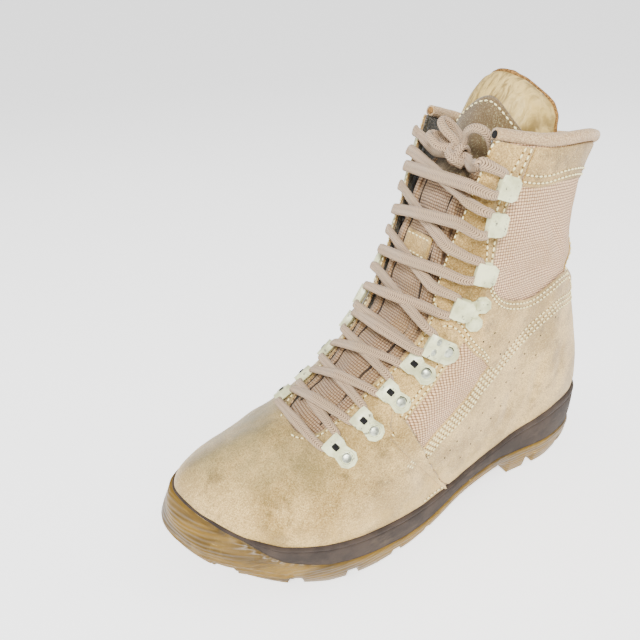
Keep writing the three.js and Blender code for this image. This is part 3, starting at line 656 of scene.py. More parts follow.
# %% Curves of the last
def round_curve(lateral, medial=None, corners=()):
    """A closed smooth curve through the rows of one column, as a function of u from 0 to 1."""
    values = np.concatenate([lateral, (lateral if medial is None else medial)[-2:0:-1]])

    def value(u):
        t = (np.asarray(u, float) % 1.0) * ROUND
        i = np.minimum(t.astype(int), ROUND - 1)
        f, j = t - i, (i + 1) % ROUND
        a, b = values[i], values[j]
        start = np.where(np.isin(i, corners), b - a, (b - values[i - 1]) / 2)
        end = np.where(np.isin(j, corners), b - a, (values[(j + 1) % ROUND] - a) / 2)
        return cubic(a, b, start, end, f)

    return value


column = dict(zip(COLUMNS, LAST.T))
side_column = dict(zip(SIDE_COLUMNS, SIDE.T))
COLLAR_CORNERS = (CORNER_ROW, ROUND - CORNER_ROW)
edge_x = round_curve(column["x"])
edge_y = round_curve(column["lat"], column["med"])
top_edge = [round_curve(column["l" + axis], column["m" + axis], COLLAR_CORNERS) for axis in "xyz"]
foot_out, foot_up, forward, down = (round_curve(column[name]) for name in ("out", "up", "fx", "fz"))
sideways = round_curve(column["side"], -column["side"])


def side_at(name, x):
    return np.interp(x, side_column["x"], side_column[name])


def edge(u, inset=0.0):
    """The sole's edge from above, moved inwards, and its outward direction."""
    step = 1e-3
    along_x, along_y = edge_x(u + step) - edge_x(u - step), edge_y(u + step) - edge_y(u - step)
    long = np.hypot(along_x, along_y)
    out_x, out_y = -along_y / long, along_x / long
    return edge_x(u) - out_x * inset, edge_y(u) - out_y * inset, out_x, out_y


def face(u, h):
    """The upper's outer face: h is 0 at the sole and 1 at the top edge."""
    u, h = np.broadcast_arrays(np.asarray(u, float), np.asarray(h, float))
    x, y, out_x, out_y = edge(u, side_at("inset", edge_x(u)))
    seat = side_at("rim", edge_x(u)) - RIM_HEIGHT
    foot = np.stack([x, y, seat], -1)
    top = np.stack([curve(u) for curve in top_edge], -1)
    rise = foot + np.stack([out_x * foot_out(u), out_y * foot_out(u), foot_up(u)], -1)
    fall = top + np.stack([forward(u), sideways(u), down(u)], -1)
    h = h[..., None]
    g = 1 - h
    return g ** 3 * foot + 3 * g * g * h * rise + 3 * g * h * h * fall + h ** 3 * top


def frame_at(u, h):
    """Directions round the boot, up the wall and out of it."""
    step = 2e-3
    round_it = unit(face(u + step, h) - face(u - step, h))
    rising = unit(face(u, np.minimum(1, h + step)) - face(u, np.maximum(0, h - step)))
    return round_it, rising, unit(np.cross(rising, round_it))


# %% [markdown]
# ## Creases
# Leather that has been walked in keeps soft troughs where it bends, with a low ridge on each side. Each
# crease is a line on the wall between two places, given as rows of the last and heights, with its depth
# and width. Every layer of the upper follows the same relief, so the panels stay together.

# %% Creases: row, h to row, h, depth, width
CREASES = [
    (4.85, 0.02, 6.25, 0.5, 1.3, 5.0), (5.6, 0.03, 7.0, 0.55, 0.5, 6.0),
    (6.9, 0.1, 7.9, 0.75, 0.7, 8.0), (7.9, 0.25, 9.0, 0.8, 0.5, 9.0), (13.2, 0.05, 12.3, 0.7, 0.8, 7.0),
    (14.4, 0.05, 13.7, 0.5, 1.0, 6.0), (2.2, 0.645, 3.7, 0.69, 1.8, 4.0),
    (2.5, 0.71, 3.4, 0.735, 0.9, 3.5), (2.1, 0.68, 2.6, 0.8, 1.1, 3.5),
    (0.0, 0.575, 1.6, 0.6, 2.6, 5.0), (18.6, 0.6, 20.0, 0.575, 2.4, 5.0),
    (16.2, 0.68, 17.8, 0.645, 1.6, 4.5), (2.7, 0.12, 2.4, 0.36, 0.6, 4.0),
    (2.0, 0.1, 1.9, 0.34, 0.5, 4.0), (3.3, 0.1, 3.1, 0.28, 0.5, 4.0), (4.3, 0.6, 5.0, 0.66, 0.8, 3.5),
    (4.5, 0.5, 5.3, 0.56, 0.5, 3.0), (3.9, 0.76, 4.35, 0.8, 0.8, 3.0),
    (3.75, 0.86, 4.2, 0.89, 0.6, 3.0), (4.2, 0.68, 4.9, 0.78, 0.8, 4.0),
    (16.0, 0.84, 15.6, 0.8, 0.8, 3.0),
]


def crease_lines():
    for row_a, h_a, row_b, h_b, depth, width in CREASES:
        part = np.linspace(0, 1, 9)
        bow = np.sin(part * math.pi) * 0.015
        line = face((row_a + (row_b - row_a) * part) / ROUND, h_a + (h_b - h_a) * part + bow)
        yield line, depth * np.sin(part * math.pi) ** 0.6, width


CREASE_LINES = list(crease_lines())
RIDGE_HIGH, RIDGE_AT = 0.35, 1.9  # shares of a crease's depth and width
UNEVEN = 0.45  # millimetres
BROAD, FINE = 0.045, 0.12  # noise steps per millimetre


def relief(points):
    """How far the walls stand out at points, from the creases and a slight unevenness."""
    raised = np.zeros(len(points))
    for line, depths, width in CREASE_LINES:
        low, high = line.min(0) - 3 * width, line.max(0) + 3 * width
        near = np.all((points > low) & (points < high), axis=1)
        best = np.full(near.sum(), 1e9)
        depth = np.zeros(near.sum())
        for a, b, depth_a, depth_b in zip(line[:-1], line[1:], depths[:-1], depths[1:]):
            along = b - a
            f = np.clip((points[near] - a) @ along / (along @ along), 0, 1)
            far = np.linalg.norm(points[near] - (a + f[:, None] * along), axis=1)
            depth = np.where(far < best, depth_a + (depth_b - depth_a) * f, depth)
            best = np.minimum(best, far)
        trough = np.exp(-(best / width) ** 2)
        ridge = np.exp(-((best - RIDGE_AT * width) / width) ** 2)
        raised[near] += depth * (RIDGE_HIGH * ridge - trough)
    soft = [noise.noise(Vector(p) * BROAD) + 0.5 * noise.noise(Vector(p) * FINE) for p in points]
    return raised + UNEVEN * np.array(soft)


def wall(u, h, off=0.0, creased=True):
    """Points on the upper, `off` millimetres out from its face."""
    u, h = np.broadcast_arrays(np.asarray(u, float), np.asarray(h, float))
    points = face(u, h)
    extra = relief(points.reshape(-1, 3)).reshape(u.shape) if creased else 0.0
    return points + frame_at(u, h)[2] * np.asarray(off + extra)[..., None]


# %% [markdown]
# ## The shell of the upper
# Under the panels lies one hollow shell: woven cloth outside and lining inside, two millimetres apart.
# It shows in the two insets on each side, where the padding behind it swells it a little between the
# seams. A Solidify modifier gives the sheet its thickness towards the foot.

# %% Shell
SWELLS = [  # row, h, half size in rows, half size in h, millimetres
    (5.0, 0.49, 1.2, 0.10, 1.3), (2.75, 0.76, 1.1, 0.13, 1.5), (1.0, 0.76, 1.0, 0.13, 1.0),
]
SWELLS += [(ROUND - row, *rest) for row, *rest in SWELLS]
CLOTH_OFF = -0.35


def swell(u, h):
    rows = u * ROUND
    return sum(high * np.exp(-((rows - row) / wide) ** 4 - ((h - mid) / tall) ** 4)
               for row, mid, wide, tall, high in SWELLS)


def shell_place(s, t):
    points = wall(s, t, CLOTH_OFF + swell(s, t))
    up = np.linalg.norm(face(s, np.ones_like(t)) - face(s, np.zeros_like(t)), axis=1)
    return points, np.stack([s * GIRTH * MM, t * up * 1.08 * MM], -1)


def thicken(piece, thick, inner=0, rim=0):
    """Gives a sheet its thickness on the inside."""
    solid = piece.modifiers.new("thickness", "SOLIDIFY")
    solid.thickness = thick * MM
    solid.offset = -1
    solid.material_offset = inner
    solid.material_offset_rim = rim


shell = piece_from(warped_grid(420, 110, shell_place, wrap_s=True, flip=True), "upper_shell",
                   [CLOTH, LINING])
thicken(shell, 2.0, inner=1, rim=1)
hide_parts("upper")

# %% [markdown]
# ## Suede panels
# A cutter would lay these patterns on a hide: the vamp whose two arms run up beside the lace, the
# counter round the heel, an ankle panel on each side that rises as the upper eyestay, the collar band
# and the back-stay. Each is a strip between two seams, given by a few places on the wall. Its edge
# turns down where the knife cut it, and it lies over or under its neighbours by the order they are sewn.

# %% Seams: places as row and h, lateral side
SEAMS = {
    "vamp_rear": [(4.60, 0.60), (5.23, 0.608), (6.0, 0.632), (6.45, 0.575), (6.18, 0.479), (5.83, 0.371),
                  (5.2, 0.196), (4.57, 0.0)],
    "vamp_foot": [(5.6, 0), (6.6, 0), (7.6, 0), (8.5, 0), (9.3, 0), (10, 0)],
    "vamp_throat": [(5.55, 1), (5.95, 1), (6.4, 1), (6.75, 1), (6.95, 1), (7.1, 1), (7.25, 1), (7.4, 1),
                    (7.65, 1), (8.0, 1), (8.4, 1), (8.9, 1), (9.4, 1), (10, 1)],
    "counter_top": [(6.02, 0.368), (5.32, 0.379), (4.73, 0.383), (4.18, 0.400), (3.75, 0.438), (3.42, 0.475),
                    (3.08, 0.504), (2.63, 0.529), (2.1, 0.542), (1.3, 0.535), (0.6, 0.528), (0, 0.525)],
    "counter_foot": [(4.45, 0), (4.2, 0), (3.9, 0), (3.6, 0), (3.3, 0), (3.0, 0), (2.6, 0), (2.2, 0),
                     (1.7, 0), (1.1, 0), (0.5, 0), (0, 0)],
    "ankle_outer": [(4.02, 1), (4.35, 1), (4.75, 1), (5.15, 1), (5.62, 1), (5.38, 0.80), (4.53, 0.579),
                    (3.75, 0.424), (3.42, 0.455), (3.08, 0.484), (2.63, 0.509), (1.9, 0.522), (1.2, 0.515)],
    "ankle_inner": [(3.32, 0.995), (3.45, 0.921), (3.55, 0.892), (3.65, 0.85), (3.78, 0.78), (3.85, 0.73),
                    (3.87, 0.69), (3.80, 0.655), (3.55, 0.625), (3.2, 0.605), (2.75, 0.59), (1.95, 0.60),
                    (1.2, 0.60)],
    "collar_low": [(3.42, 0.905), (3.03, 0.900), (2.5, 0.902), (1.98, 0.900), (1.0, 0.897), (0, 0.895)],
    "collar_high": [(3.30, 0.997), (3.03, 0.997), (2.5, 0.997), (1.98, 0.997), (1.0, 0.997), (0, 0.997)],
    "stay_front": [(1.15, 0.50), (1.45, 0.56), (1.30, 0.62), (0.85, 0.70), (0.62, 0.80), (0.55, 0.92)],
}


def both_sides(places):
    """A seam carried over the toe or heel to the medial side and back down it."""
    turn = places[-1][0]
    return places + [(2 * turn - row if turn else -row, h) for row, h in places[-2::-1]]


def other_side(places):
    return [(ROUND - row, h) for row, h in places]


# %% Cutting one panel
EDGE_ROLL, EDGE_SINK = 0.9, 0.4  # how wide an edge turns down, and how far
PANEL_THICK, PANEL_LONG = 1.3, 400.0


def panel_width(on, s):
    """How far apart a panel's two seams lie."""
    return np.linalg.norm(face(*on(s, np.ones_like(s))) - face(*on(s, np.zeros_like(s))), axis=1)


def panel(name, low, high, lift, corners=(), material=None, columns=300, rows=48):
    """A suede strip between two seams, as a piece and a function that finds places on it."""
    low_at, high_at = lane(low, corners), lane(high, corners)

    def on(s, t):
        places = low_at(s) * (1 - t)[:, None] + high_at(s) * t[:, None]
        return places[:, 0] / ROUND, places[:, 1]

    def place(s, t):
        eased = 0.5 - 0.5 * np.cos(math.pi * t)
        t = eased * 0.6 + t * 0.4
        u, h = on(s, t)
        width = panel_width(on, s)
        border = np.minimum(np.minimum(t, 1 - t) * width, np.minimum(s, 1 - s) * PANEL_LONG)
        roll = 1 - np.clip(border / EDGE_ROLL, 0, 1)
        off = lift - EDGE_SINK * roll ** 2
        return wall(u, h, off), np.stack([s * PANEL_LONG * MM, t * width * MM], -1)

    bm = warped_grid(columns, rows, place, flip=True)
    piece = piece_from(bm, name, [material or SUEDE, RAW_EDGE])
    thicken(piece, PANEL_THICK)
    return piece, on


def facing_out(piece):
    """True if a sheet's faces look away from the boot's middle line."""
    mesh = piece.data
    total = sum(poly.normal.dot(poly.center - Vector((poly.center.x * 0.5 - 0.02, 0, 0.09))) * poly.area
                for poly in mesh.polygons)
    return total > 0


# %% The panels
panels = {}
vamp_low = both_sides(SEAMS["vamp_rear"] + SEAMS["vamp_foot"])
vamp_corners = (3, 7, len(vamp_low) - 4, len(vamp_low) - 8)
panels["counter"] = panel("counter", both_sides(SEAMS["counter_foot"]), both_sides(SEAMS["counter_top"]),
                          0.55, columns=360, rows=56)
panels["vamp"] = panel("vamp", vamp_low, both_sides(SEAMS["vamp_throat"]), 0.9, vamp_corners,
                       columns=380, rows=56)
collar = both_sides(SEAMS["collar_low"]), both_sides(SEAMS["collar_high"])
panels["collar_band"] = panel("collar_band", *collar, 0.45, material=SUEDE_WARM, columns=220, rows=18)
for side, turn in (("lateral", lambda seam: seam), ("medial", other_side)):
    outer, inner = turn(SEAMS["ankle_outer"]), turn(SEAMS["ankle_inner"])
    panels["ankle_" + side] = panel("ankle_panel_" + side, outer, inner, 1.25, (4, 5), material=SUEDE_WARM)
stay = SEAMS["stay_front"]
panels["back_stay"] = panel("back_stay", stay, other_side([(row + ROUND, h) for row, h in stay]), 1.15,
                            material=SUEDE_WARM, columns=60, rows=30)
for name, (piece, _) in panels.items():
    if not facing_out(piece):
        piece.data.flip_normals()
    print(name, "faces out", facing_out(piece))

# %% [markdown]
# ## Stitches and ventilation holes
# Each stitch is one small rounded capsule lying along its seam, sunk a little into the suede. Most
# seams are sewn in two rows, the counter's in four. Between every two stitches lies a small dark capsule
# of painted shade where the needle holes are. The ventilation holes are small discs of shadow, as if punched.

# %% Rows of stitches
STITCH_PITCH = 3.1
STITCH = (1.15, 0.5, 0.5)  # half length, half width, half height
NEEDLE_SHADE_SIZE = (0.5, 0.75, 0.3)


def copies(template, matrices):
    """One mesh of a small template repeated at matrices."""
    bm = bmesh.new()
    for matrix in matrices:
        copy = template.copy()
        copy.transform(matrix)
        bm.from_mesh(copy)
        bpy.data.meshes.remove(copy)
    return bm


def capsule_row(matrices, segments=6):
    """One mesh of stretched balls, each placed by its own matrix."""
    ball = bmesh.new()
    bmesh.ops.create_uvsphere(ball, u_segments=segments, v_segments=4, radius=1)
    return copies(mesh_from(ball, "ball"), matrices)


def frame_matrix(place, along, out, sizes):
    along, out = Vector(along).normalized(), Vector(out).normalized()
    side = out.cross(along).normalized()
    turn = Matrix((along, side, along.cross(side))).transposed().to_4x4()
    scale = Matrix.Diagonal([size * MM for size in sizes] + [1])
    return Matrix.Translation(Vector(place) * MM) @ turn @ scale


def stitch_matrices(line, outs, pitch, first, sizes):
    """Matrices at every pitch along a line, lying along it."""
    gone = lengths(line)
    marks = np.arange(first, gone[-1], pitch)
    ways = unit(np.gradient(line, axis=0))
    spots = zip(*(resample(marks, gone, values) for values in (line, ways, outs)))
    return [frame_matrix(place, way, out, sizes) for place, way, out in spots]


def seam_row(on, t, start, end, lift, sizes=STITCH, shift=0.5):
    """Matrices of stitches along a panel, t millimetres in from its first seam, or its second if below 0."""
    s = np.linspace(start, end, 900)
    width = panel_width(on, s)
    across = np.clip(np.where(t >= 0, t / width, 1 + t / width), 0, 1)
    u, h = on(s, across)
    return stitch_matrices(wall(u, h, lift), frame_at(u, h)[2], STITCH_PITCH, STITCH_PITCH * shift, sizes)


STITCH_ROWS = [  # panel, millimetres in from its first seam (or below 0 its second), from s, to s, height
    ("vamp", 2.0, 0.03, 0.29, 1.05), ("vamp", 5.2, 0.03, 0.29, 1.05),
    ("vamp", 2.0, 0.71, 0.97, 1.05), ("vamp", 5.2, 0.71, 0.97, 1.05),
    ("vamp", -3.0, 0.0, 0.46, 1.05), ("vamp", -3.0, 0.54, 1.0, 1.05),
    ("counter", -2.0, 0.0, 1.0, 0.7), ("counter", -5.0, 0.0, 1.0, 0.7),
    ("counter", -8.0, 0.0, 1.0, 0.7), ("counter", -11.0, 0.02, 0.98, 0.7),
    ("collar_band", 2.2, 0.0, 1.0, 0.6), ("collar_band", 5.4, 0.0, 1.0, 0.6),
    *[("ankle_" + side, *row, 1.4) for side in ("lateral", "medial") for row in
      [(3.2, 0.0, 0.36), (2.0, 0.41, 0.57), (5.2, 0.41, 0.57), (-2.0, 0.0, 0.97), (-5.2, 0.0, 0.97)]],
    ("back_stay", 2.0, 0.02, 0.98, 1.3), ("back_stay", -2.0, 0.02, 0.98, 1.3),
]


def all_rows(sizes, shift, sink):
    return [matrix for panel_name, inset, start, end, lift in STITCH_ROWS
            for matrix in seam_row(panels[panel_name][1], inset, start, end, lift - sink, sizes, shift)]


stitches = piece_from(capsule_row(all_rows(STITCH, 0.5, -0.1)), "seam_stitches", [THREAD])
# Dark capsules between the stitches: painted shade of the needle holes.
piece_from(capsule_row(all_rows(NEEDLE_SHADE_SIZE, 1.0, 0.15), 4), "needle_hole_shade", [NEEDLE_SHADE])
print("stitches", len(stitches.data.polygons) // 24)

# %% Ventilation holes
HOLE_ROWS = [  # places along each row, and how many holes
    ([(2.07, 0.458), (2.85, 0.396), (3.3, 0.333), (3.88, 0.267), (4.53, 0.242), (4.83, 0.212)], 11, 0.62),
    ([(2.58, 0.362), (3.23, 0.267), (3.78, 0.196), (4.37, 0.142)], 8, 0.62),
    ([(4.0, 0.517), (3.72, 0.533)], 2, 1.32), ([(3.83, 0.496), (3.55, 0.458), (3.33, 0.483)], 3, 1.32),
]
hole_mesh = bmesh.new()
for places, count, lift in HOLE_ROWS:
    for turn in (lambda seam: seam, other_side):
        row_at = lane(turn(places))
        u, h = row_at(np.linspace(0, 1, count)).T
        u = u / ROUND
        points, (_, rising, out) = wall(u, h, lift), frame_at(u, h)
        for point, up, away in zip(points, rising, out):
            matrix = frame_matrix(point, up, away, (0.62, 0.62, 0.1))
            bmesh.ops.create_uvsphere(hole_mesh, u_segments=10, v_segments=4, radius=1, matrix=matrix)
piece_from(hole_mesh, "ventilation_holes", [HOLE_SHADE])

# %% [markdown]
# ## The sole
# The foam midsole is a ring of one profile swept round the sole's edge: flush with the rubber below,
# swelling a little, then rolled over into a rim against the suede. The rubber below it is one
# closed shell: its side dips into rounded notches between the lugs, and its underside is a field whose
# height is the tread.

# %% Midsole
MIDSOLE_PROFILE = [  # share of the height from the rubber to the rim, and millimetres inside the edge
    (-0.35, 6.0), (-0.3, 0.9), (0.0, 0.75), (0.04, 0.35), (0.2, 0.05), (0.45, -0.05), (0.68, 0.1),
    (0.8, 0.35), (0.83, 0.75), (0.86, 0.75), (0.9, 0.3), (0.97, 0.45), (1.0, 0.9), (1.03, 1.8),
    (1.0, 2.9), (0.93, 3.5), (0.6, 3.9), (0.0, 6.0),
]


def behind(x):
    f = np.clip((x - 104) / 18, 0, 1)
    return 2 * f * f * (3 - 2 * f)


def midsole_place(s, t):
    x = edge_x(s)
    share, inset = lane(MIDSOLE_PROFILE, (1, 2))(t).T
    low, high = side_at("gum", x), side_at("rim", x)
    lean = side_at("inset", x) - RIM_WIDTH
    place_x, place_y, _, _ = edge(s, inset + lean + 0.25 + behind(x))
    z = low + (high - low) * share
    z = np.where(share < 0, low + share * 8, z)
    return np.stack([place_x, place_y, z], -1), np.stack([s * GIRTH * MM, t * 0.06], -1)


midsole_mesh = warped_grid(420, 72, midsole_place, wrap_s=True, wrap_t=True)
bmesh.ops.bridge_loops(midsole_mesh, edges=[e for e in midsole_mesh.edges if e.is_boundary])
bmesh.ops.recalc_face_normals(midsole_mesh, faces=midsole_mesh.faces)
midsole = piece_from(midsole_mesh, "midsole_foam", [FOAM])
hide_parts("midsole")

# %% Tread pattern
LUG_DEPTH = 5.0
EDGE_LUGS = [(0.028, 0.072), (0.082, 0.118), (0.128, 0.148), (0.262, 0.292), (0.302, 0.337), (0.347, 0.381),
             (0.391, 0.43)]
EDGE_LUGS += [(0.45, 0.55)] + [(1 - end, 1 - start) for start, end in EDGE_LUGS]
LUG_WIDE, LUG_SOFT = 17.0, 1.2
CHEVRONS = [-112, 30, 52, 74, 96]
CHEVRON_BACK, CHEVRON_HALF, CHEVRON_LONG = 8.0, 24.0, 11.0


def soft_step(value):
    return np.clip(value / LUG_SOFT + 0.5, 0, 1)


def edge_lug(u, inset):
    """1 on a lug at the tread's edge, 0 in the grooves between."""
    on = np.zeros_like(u)
    for start, end in EDGE_LUGS:
        on = np.maximum(on, np.minimum(soft_step((u - start) * GIRTH), soft_step((end - u) * GIRTH)))
    return on * soft_step(LUG_WIDE - inset)


def chevron_lug(x, y):
    on = np.zeros_like(x)
    slant = np.abs(y) / CHEVRON_HALF * CHEVRON_BACK
    for point in CHEVRONS:
        front = soft_step(point - slant - x)
        back = soft_step(x - (point - slant - CHEVRON_LONG))
        on = np.maximum(on, front * back * soft_step(CHEVRON_HALF - np.abs(y)))
    return on


def groove_depth(x):
    return LUG_DEPTH * np.where((x > -60) & (x < 4), 0.2, 1.0)


# %% Outsole side and tread
def outsole_side(s, t):
    x = edge_x(s)
    gum, low, tuck = side_at("gum", x), side_at("ground", x), side_at("under", x)
    lean = side_at("inset", x) - RIM_WIDTH
    dip = (1 - edge_lug(s, np.zeros_like(s))) * groove_depth(x)
    part = np.clip(t / 0.8, 0, 1)
    flare = low + (np.minimum(gum, 40) - 4 - low) * part * 0.8
    z = np.where(t < 0.8, flare, flare + (gum - flare) * (t - 0.8) / 0.2)
    inset = tuck * (1 - part) ** 2 + np.clip((t - 0.8) / 0.2, 0, 1) * (lean + behind(x) * 0.4)
    bead = 0.5 * np.exp(-((t - 0.93) / 0.04) ** 2)
    ribs = 0.5 * np.sin(t * 34 + 4 * np.sin(s * 31)) * (x > 96) * np.clip(part * 3, 0, 1)
    notch = np.exp(-(t / 0.3) ** 2)
    z = z + dip * notch
    place_x, place_y, _, _ = edge(s, inset - bead - ribs + dip * np.exp(-(t / 0.5) ** 2) * 0.62)
    return np.stack([place_x, place_y, z], -1), np.stack([s * GIRTH * MM, t * 0.05], -1)


def tread(s, t):
    u = s / 2
    near, _ = outsole_side(u, np.zeros_like(u))
    far, _ = outsole_side(1 - u, np.zeros_like(u))
    points = near * (1 - t)[:, None] + far * t[:, None]
    span = np.linalg.norm(far - near, axis=1)
    x, y = points[:, 0], points[:, 1]
    inset = np.minimum(t, 1 - t) * span
    lug = np.maximum(edge_lug(np.where(t < 0.5, u, 1 - u), inset), chevron_lug(x, y))
    z = side_at("ground", x) + groove_depth(x) * (1 - lug)
    blend = np.clip(inset / 0.6, 0, 1)
    points[:, 2] = points[:, 2] * (1 - blend) + z * blend
    return points, points[:, :2] * MM


side_mesh = warped_grid(900, 30, outsole_side, wrap_s=True)
tread_mesh = warped_grid(450, 84, tread)
tread_part = mesh_from(tread_mesh, "tread")
side_mesh.from_mesh(tread_part)
bpy.data.meshes.remove(tread_part)
bmesh.ops.remove_doubles(side_mesh, verts=side_mesh.verts, dist=4e-5)
bmesh.ops.holes_fill(side_mesh, edges=[e for e in side_mesh.edges if e.is_boundary], sides=0)
bmesh.ops.recalc_face_normals(side_mesh, faces=side_mesh.faces)
outsole = piece_from(side_mesh, "outsole_rubber", [GUM])
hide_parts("outsole")
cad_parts["insole"].data.materials.clear()
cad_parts["insole"].data.materials.append(LINING)

# %% [markdown]
# ## The collar binding
# A knitted tape is rolled round padding and sewn over the collar's edge. It is a tube swept along that
# edge, uneven as filled knit is, open at the lateral front corner, where its end was cut, and the dark
# inside there is a flat cap of painted shade.

# %% Binding
BINDING_WIDE, BINDING_HIGH = 5.8, 5.6
LUMP_WIDE, LUMP_HIGH = 0.7, 0.9


def binding_line():
    start = CORNER_ROW / ROUND
    u = np.linspace(start - 0.002, -start + 0.002, 360)
    _, rising, out = frame_at(u, np.ones_like(u))
    return wall(u, np.ones_like(u), -1.3, creased=False) + rising * 2.6, out


line, out = binding_line()
lumps = np.array([noise.noise(Vector(p) * 0.09) for p in line])
binding = sweep(line, out, BINDING_HIGH + lumps * LUMP_HIGH, BINDING_WIDE + lumps * LUMP_WIDE,
                "collar_binding_knit", [KNIT, HOLE_SHADE], 20, square=2.2)
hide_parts("collar_binding")
for end, way in ((0, 1), (-1, -1)):
    along = unit(line[end] - line[end + way])
    core = bmesh.new()
    matrix = frame_matrix(line[end] + along * 0.1, out[end], along, (2.0, 1.8, 0.5))
    bmesh.ops.create_uvsphere(core, u_segments=16, v_segments=8, radius=1, matrix=matrix)
    # The lateral open end is a flat cap of painted shade; the medial end shows the raw edge.
    side, finish = ("lateral", HOLE_SHADE) if end == 0 else ("medial", RAW_EDGE)
    piece_from(core, "binding_end_cap_" + side, [finish])

# %% [markdown]
# ## The tongue
# The tongue is padded cloth, so it is inflated by a cloth simulation from its plain solid, with the
# swelling capped. Above the collar it is faced with smooth leather, bound with a raw cut strip, and
# has a brown suede arch sewn over its foot. Below, the lace hides most of it: a padded middle, a fold
# on each side, drawn as a dark strip of painted shadow, and the soft gusset beside them.

# %% Inflating the tongue
SWELL_CAP = 1.6 * MM
QUILT_PITCH, QUILT_DEPTH = 15 * MM, 0.9 * MM
QUILT_TOP, QUILT_FADE = 0.2, 0.02
PADDING_VOXEL, PADDING_PRESSURE, PADDING_FRAMES = 0.0026, 4.0, 20


def plain_copy(node, name):
    """A copy of a frame solid with its loose triangles joined up."""
    bm = bmesh.new()
    bm.from_mesh(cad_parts[node].data)
    bmesh.ops.remove_doubles(bm, verts=bm.verts, dist=1e-6)
    copy = bpy.data.objects.new(name, mesh_from(bm, name))
    bpy.context.collection.objects.link(copy)
    return copy


def apply_all(piece):
    """Makes the piece's mesh what its modifiers show."""
    shown = piece.evaluated_get(bpy.context.evaluated_depsgraph_get())
    mesh = bpy.data.meshes.new_from_object(shown)
    piece.modifiers.clear()
    piece.data = mesh


def soften(bm, verts, times):
    for _ in range(times):
        bmesh.ops.smooth_vert(bm, verts=verts, factor=0.5, use_axis_x=True, use_axis_y=True, use_axis_z=True)


def inflate(piece, voxel, pressure, frames):
    """Swells a copied solid by cloth pressure, quilts its lower part and smooths it."""
    remesh = piece.modifiers.new("remesh", "REMESH")
    remesh.mode = "VOXEL"
    remesh.voxel_size = voxel
    apply_all(piece)
    rest = np.array([vert.co for vert in piece.data.vertices])
    cloth = piece.modifiers.new("cloth", "CLOTH")
    cloth.settings.use_pressure = True
    cloth.settings.uniform_pressure_force = pressure
    cloth.settings.effector_weights.gravity = 0
    cloth.settings.quality = 4
    for step in range(1, frames + 1):
        bpy.context.scene.frame_set(step)
    apply_all(piece)
    moved = np.array([vert.co for vert in piece.data.vertices]) - rest
    long = np.linalg.norm(moved, axis=1, keepdims=True)
    held = rest + moved * np.minimum(1, SWELL_CAP / np.maximum(long, 1e-9))
    for vert, place in zip(piece.data.vertices, held):
        vert.co = place
    bpy.context.scene.frame_set(1)
    bm = bmesh.new()
    bm.from_mesh(piece.data)
    for vert in bm.verts:
        low = min(1.0, max(0.0, (QUILT_TOP - vert.co.z) / QUILT_FADE))
        along = (vert.co.z * SLOPE[2] + vert.co.x * SLOPE[0]) / QUILT_PITCH
        wave = math.sin(2 * math.pi * along + 9 * noise.noise(vert.co * 60))
        vert.co += vert.normal * QUILT_DEPTH * low * wave
    soften(bm, bm.verts, 3)
    bm.to_mesh(piece.data)
    bm.free()


tongue = plain_copy("tongue", "tongue_padding")
inflate(tongue, PADDING_VOXEL, PADDING_PRESSURE, PADDING_FRAMES)
smooth = tongue.modifiers.new("smooth", "SUBSURF")
smooth.levels = smooth.render_levels = 1
for finish in (TONGUE_CLOTH, LEATHER, KNIT_GREY):
    tongue.data.materials.append(finish)
LEATHER_FROM = 0.213
for poly in tongue.data.polygons:
    poly.use_smooth = True
    outward = poly.normal.x * 0.9 + poly.normal.y * np.sign(poly.center.y - 0.003) * 0.5 + 0.15
    if poly.center.z > LEATHER_FROM:
        poly.material_index = 1 if outward > 0 else 2
    elif outward < -0.2:
        poly.material_index = 2
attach(tongue, "root")
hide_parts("tongue")
tongue_bm = bmesh.new()
tongue_bm.from_mesh(tongue.data)
TONGUE_SURFACE = BVHTree.FromBMesh(tongue_bm)
tongue_bm.free()
print("tongue", len(tongue.data.polygons), "faces")

# %% Places on the tongue
SPINE = lane([(66, 84), (47, 94), (32, 106), (17, 119), (3, 133), (-7, 152), (-14, 170), (-24, 196),
              (-36, 213), (-44, 228), (-49, 240), (-56, 249)])
TONGUE_MIDDLE = 3.0


def hit_tongue(start, way, near, off):
    """Where a ray meets the tongue, or else the place nearest to near, and the normal there."""
    hit, normal, _, _ = TONGUE_SURFACE.ray_cast(start, way)
    if hit is None:
        hit, normal, _, _ = TONGUE_SURFACE.find_nearest(near)
    return np.array(hit) / MM + np.array(normal) * off, np.array(normal)


def on_tongue(along, y, off):
    """A place on the tongue's front: along its spine from toe (0) to top (1), across it, and off it."""
    a, b = SPINE(np.array([along - 0.01, along + 0.01]).clip(0, 1))
    mid = SPINE(np.array([along]))[0]
    way = Vector((b[0] - a[0], 0, b[1] - a[1])).normalized()
    out = Vector((way.z, 0, -way.x))
    near = Vector((mid[0], y, mid[1]))
    return hit_tongue((near + out * 40) * MM, -out, near * MM, off)


def split(found):
    """Places and normals found on the tongue, as two arrays."""
    return (np.array(part) for part in zip(*found))


def tongue_line(spots, off):
    """A smooth line on the tongue through (along, y) spots, and its normals."""
    line, outs = split(on_tongue(a, y, off) for a, y in lane(spots)(np.linspace(0, 1, 160)))
    relax(line, 6)
    relax(outs, 6)
    return line, unit(outs)


def stitch_line(line, outs, name, material, pitch=STITCH_PITCH, sizes=STITCH):
    matrices = stitch_matrices(line, outs, pitch, pitch / 2, sizes)
    return piece_from(capsule_row(matrices), name, [material])


# %% Suede arch
def patch(columns, rows, place, name, material):
    """A thin suede patch whose points place(s, t) finds on the tongue."""
    bm = warped_grid(columns, rows, place)
    soften(bm, [vert for vert in bm.verts if not vert.is_boundary], 2)
    thicken(piece_from(bm, name, [material, RAW_EDGE]), 1.1, rim=1)


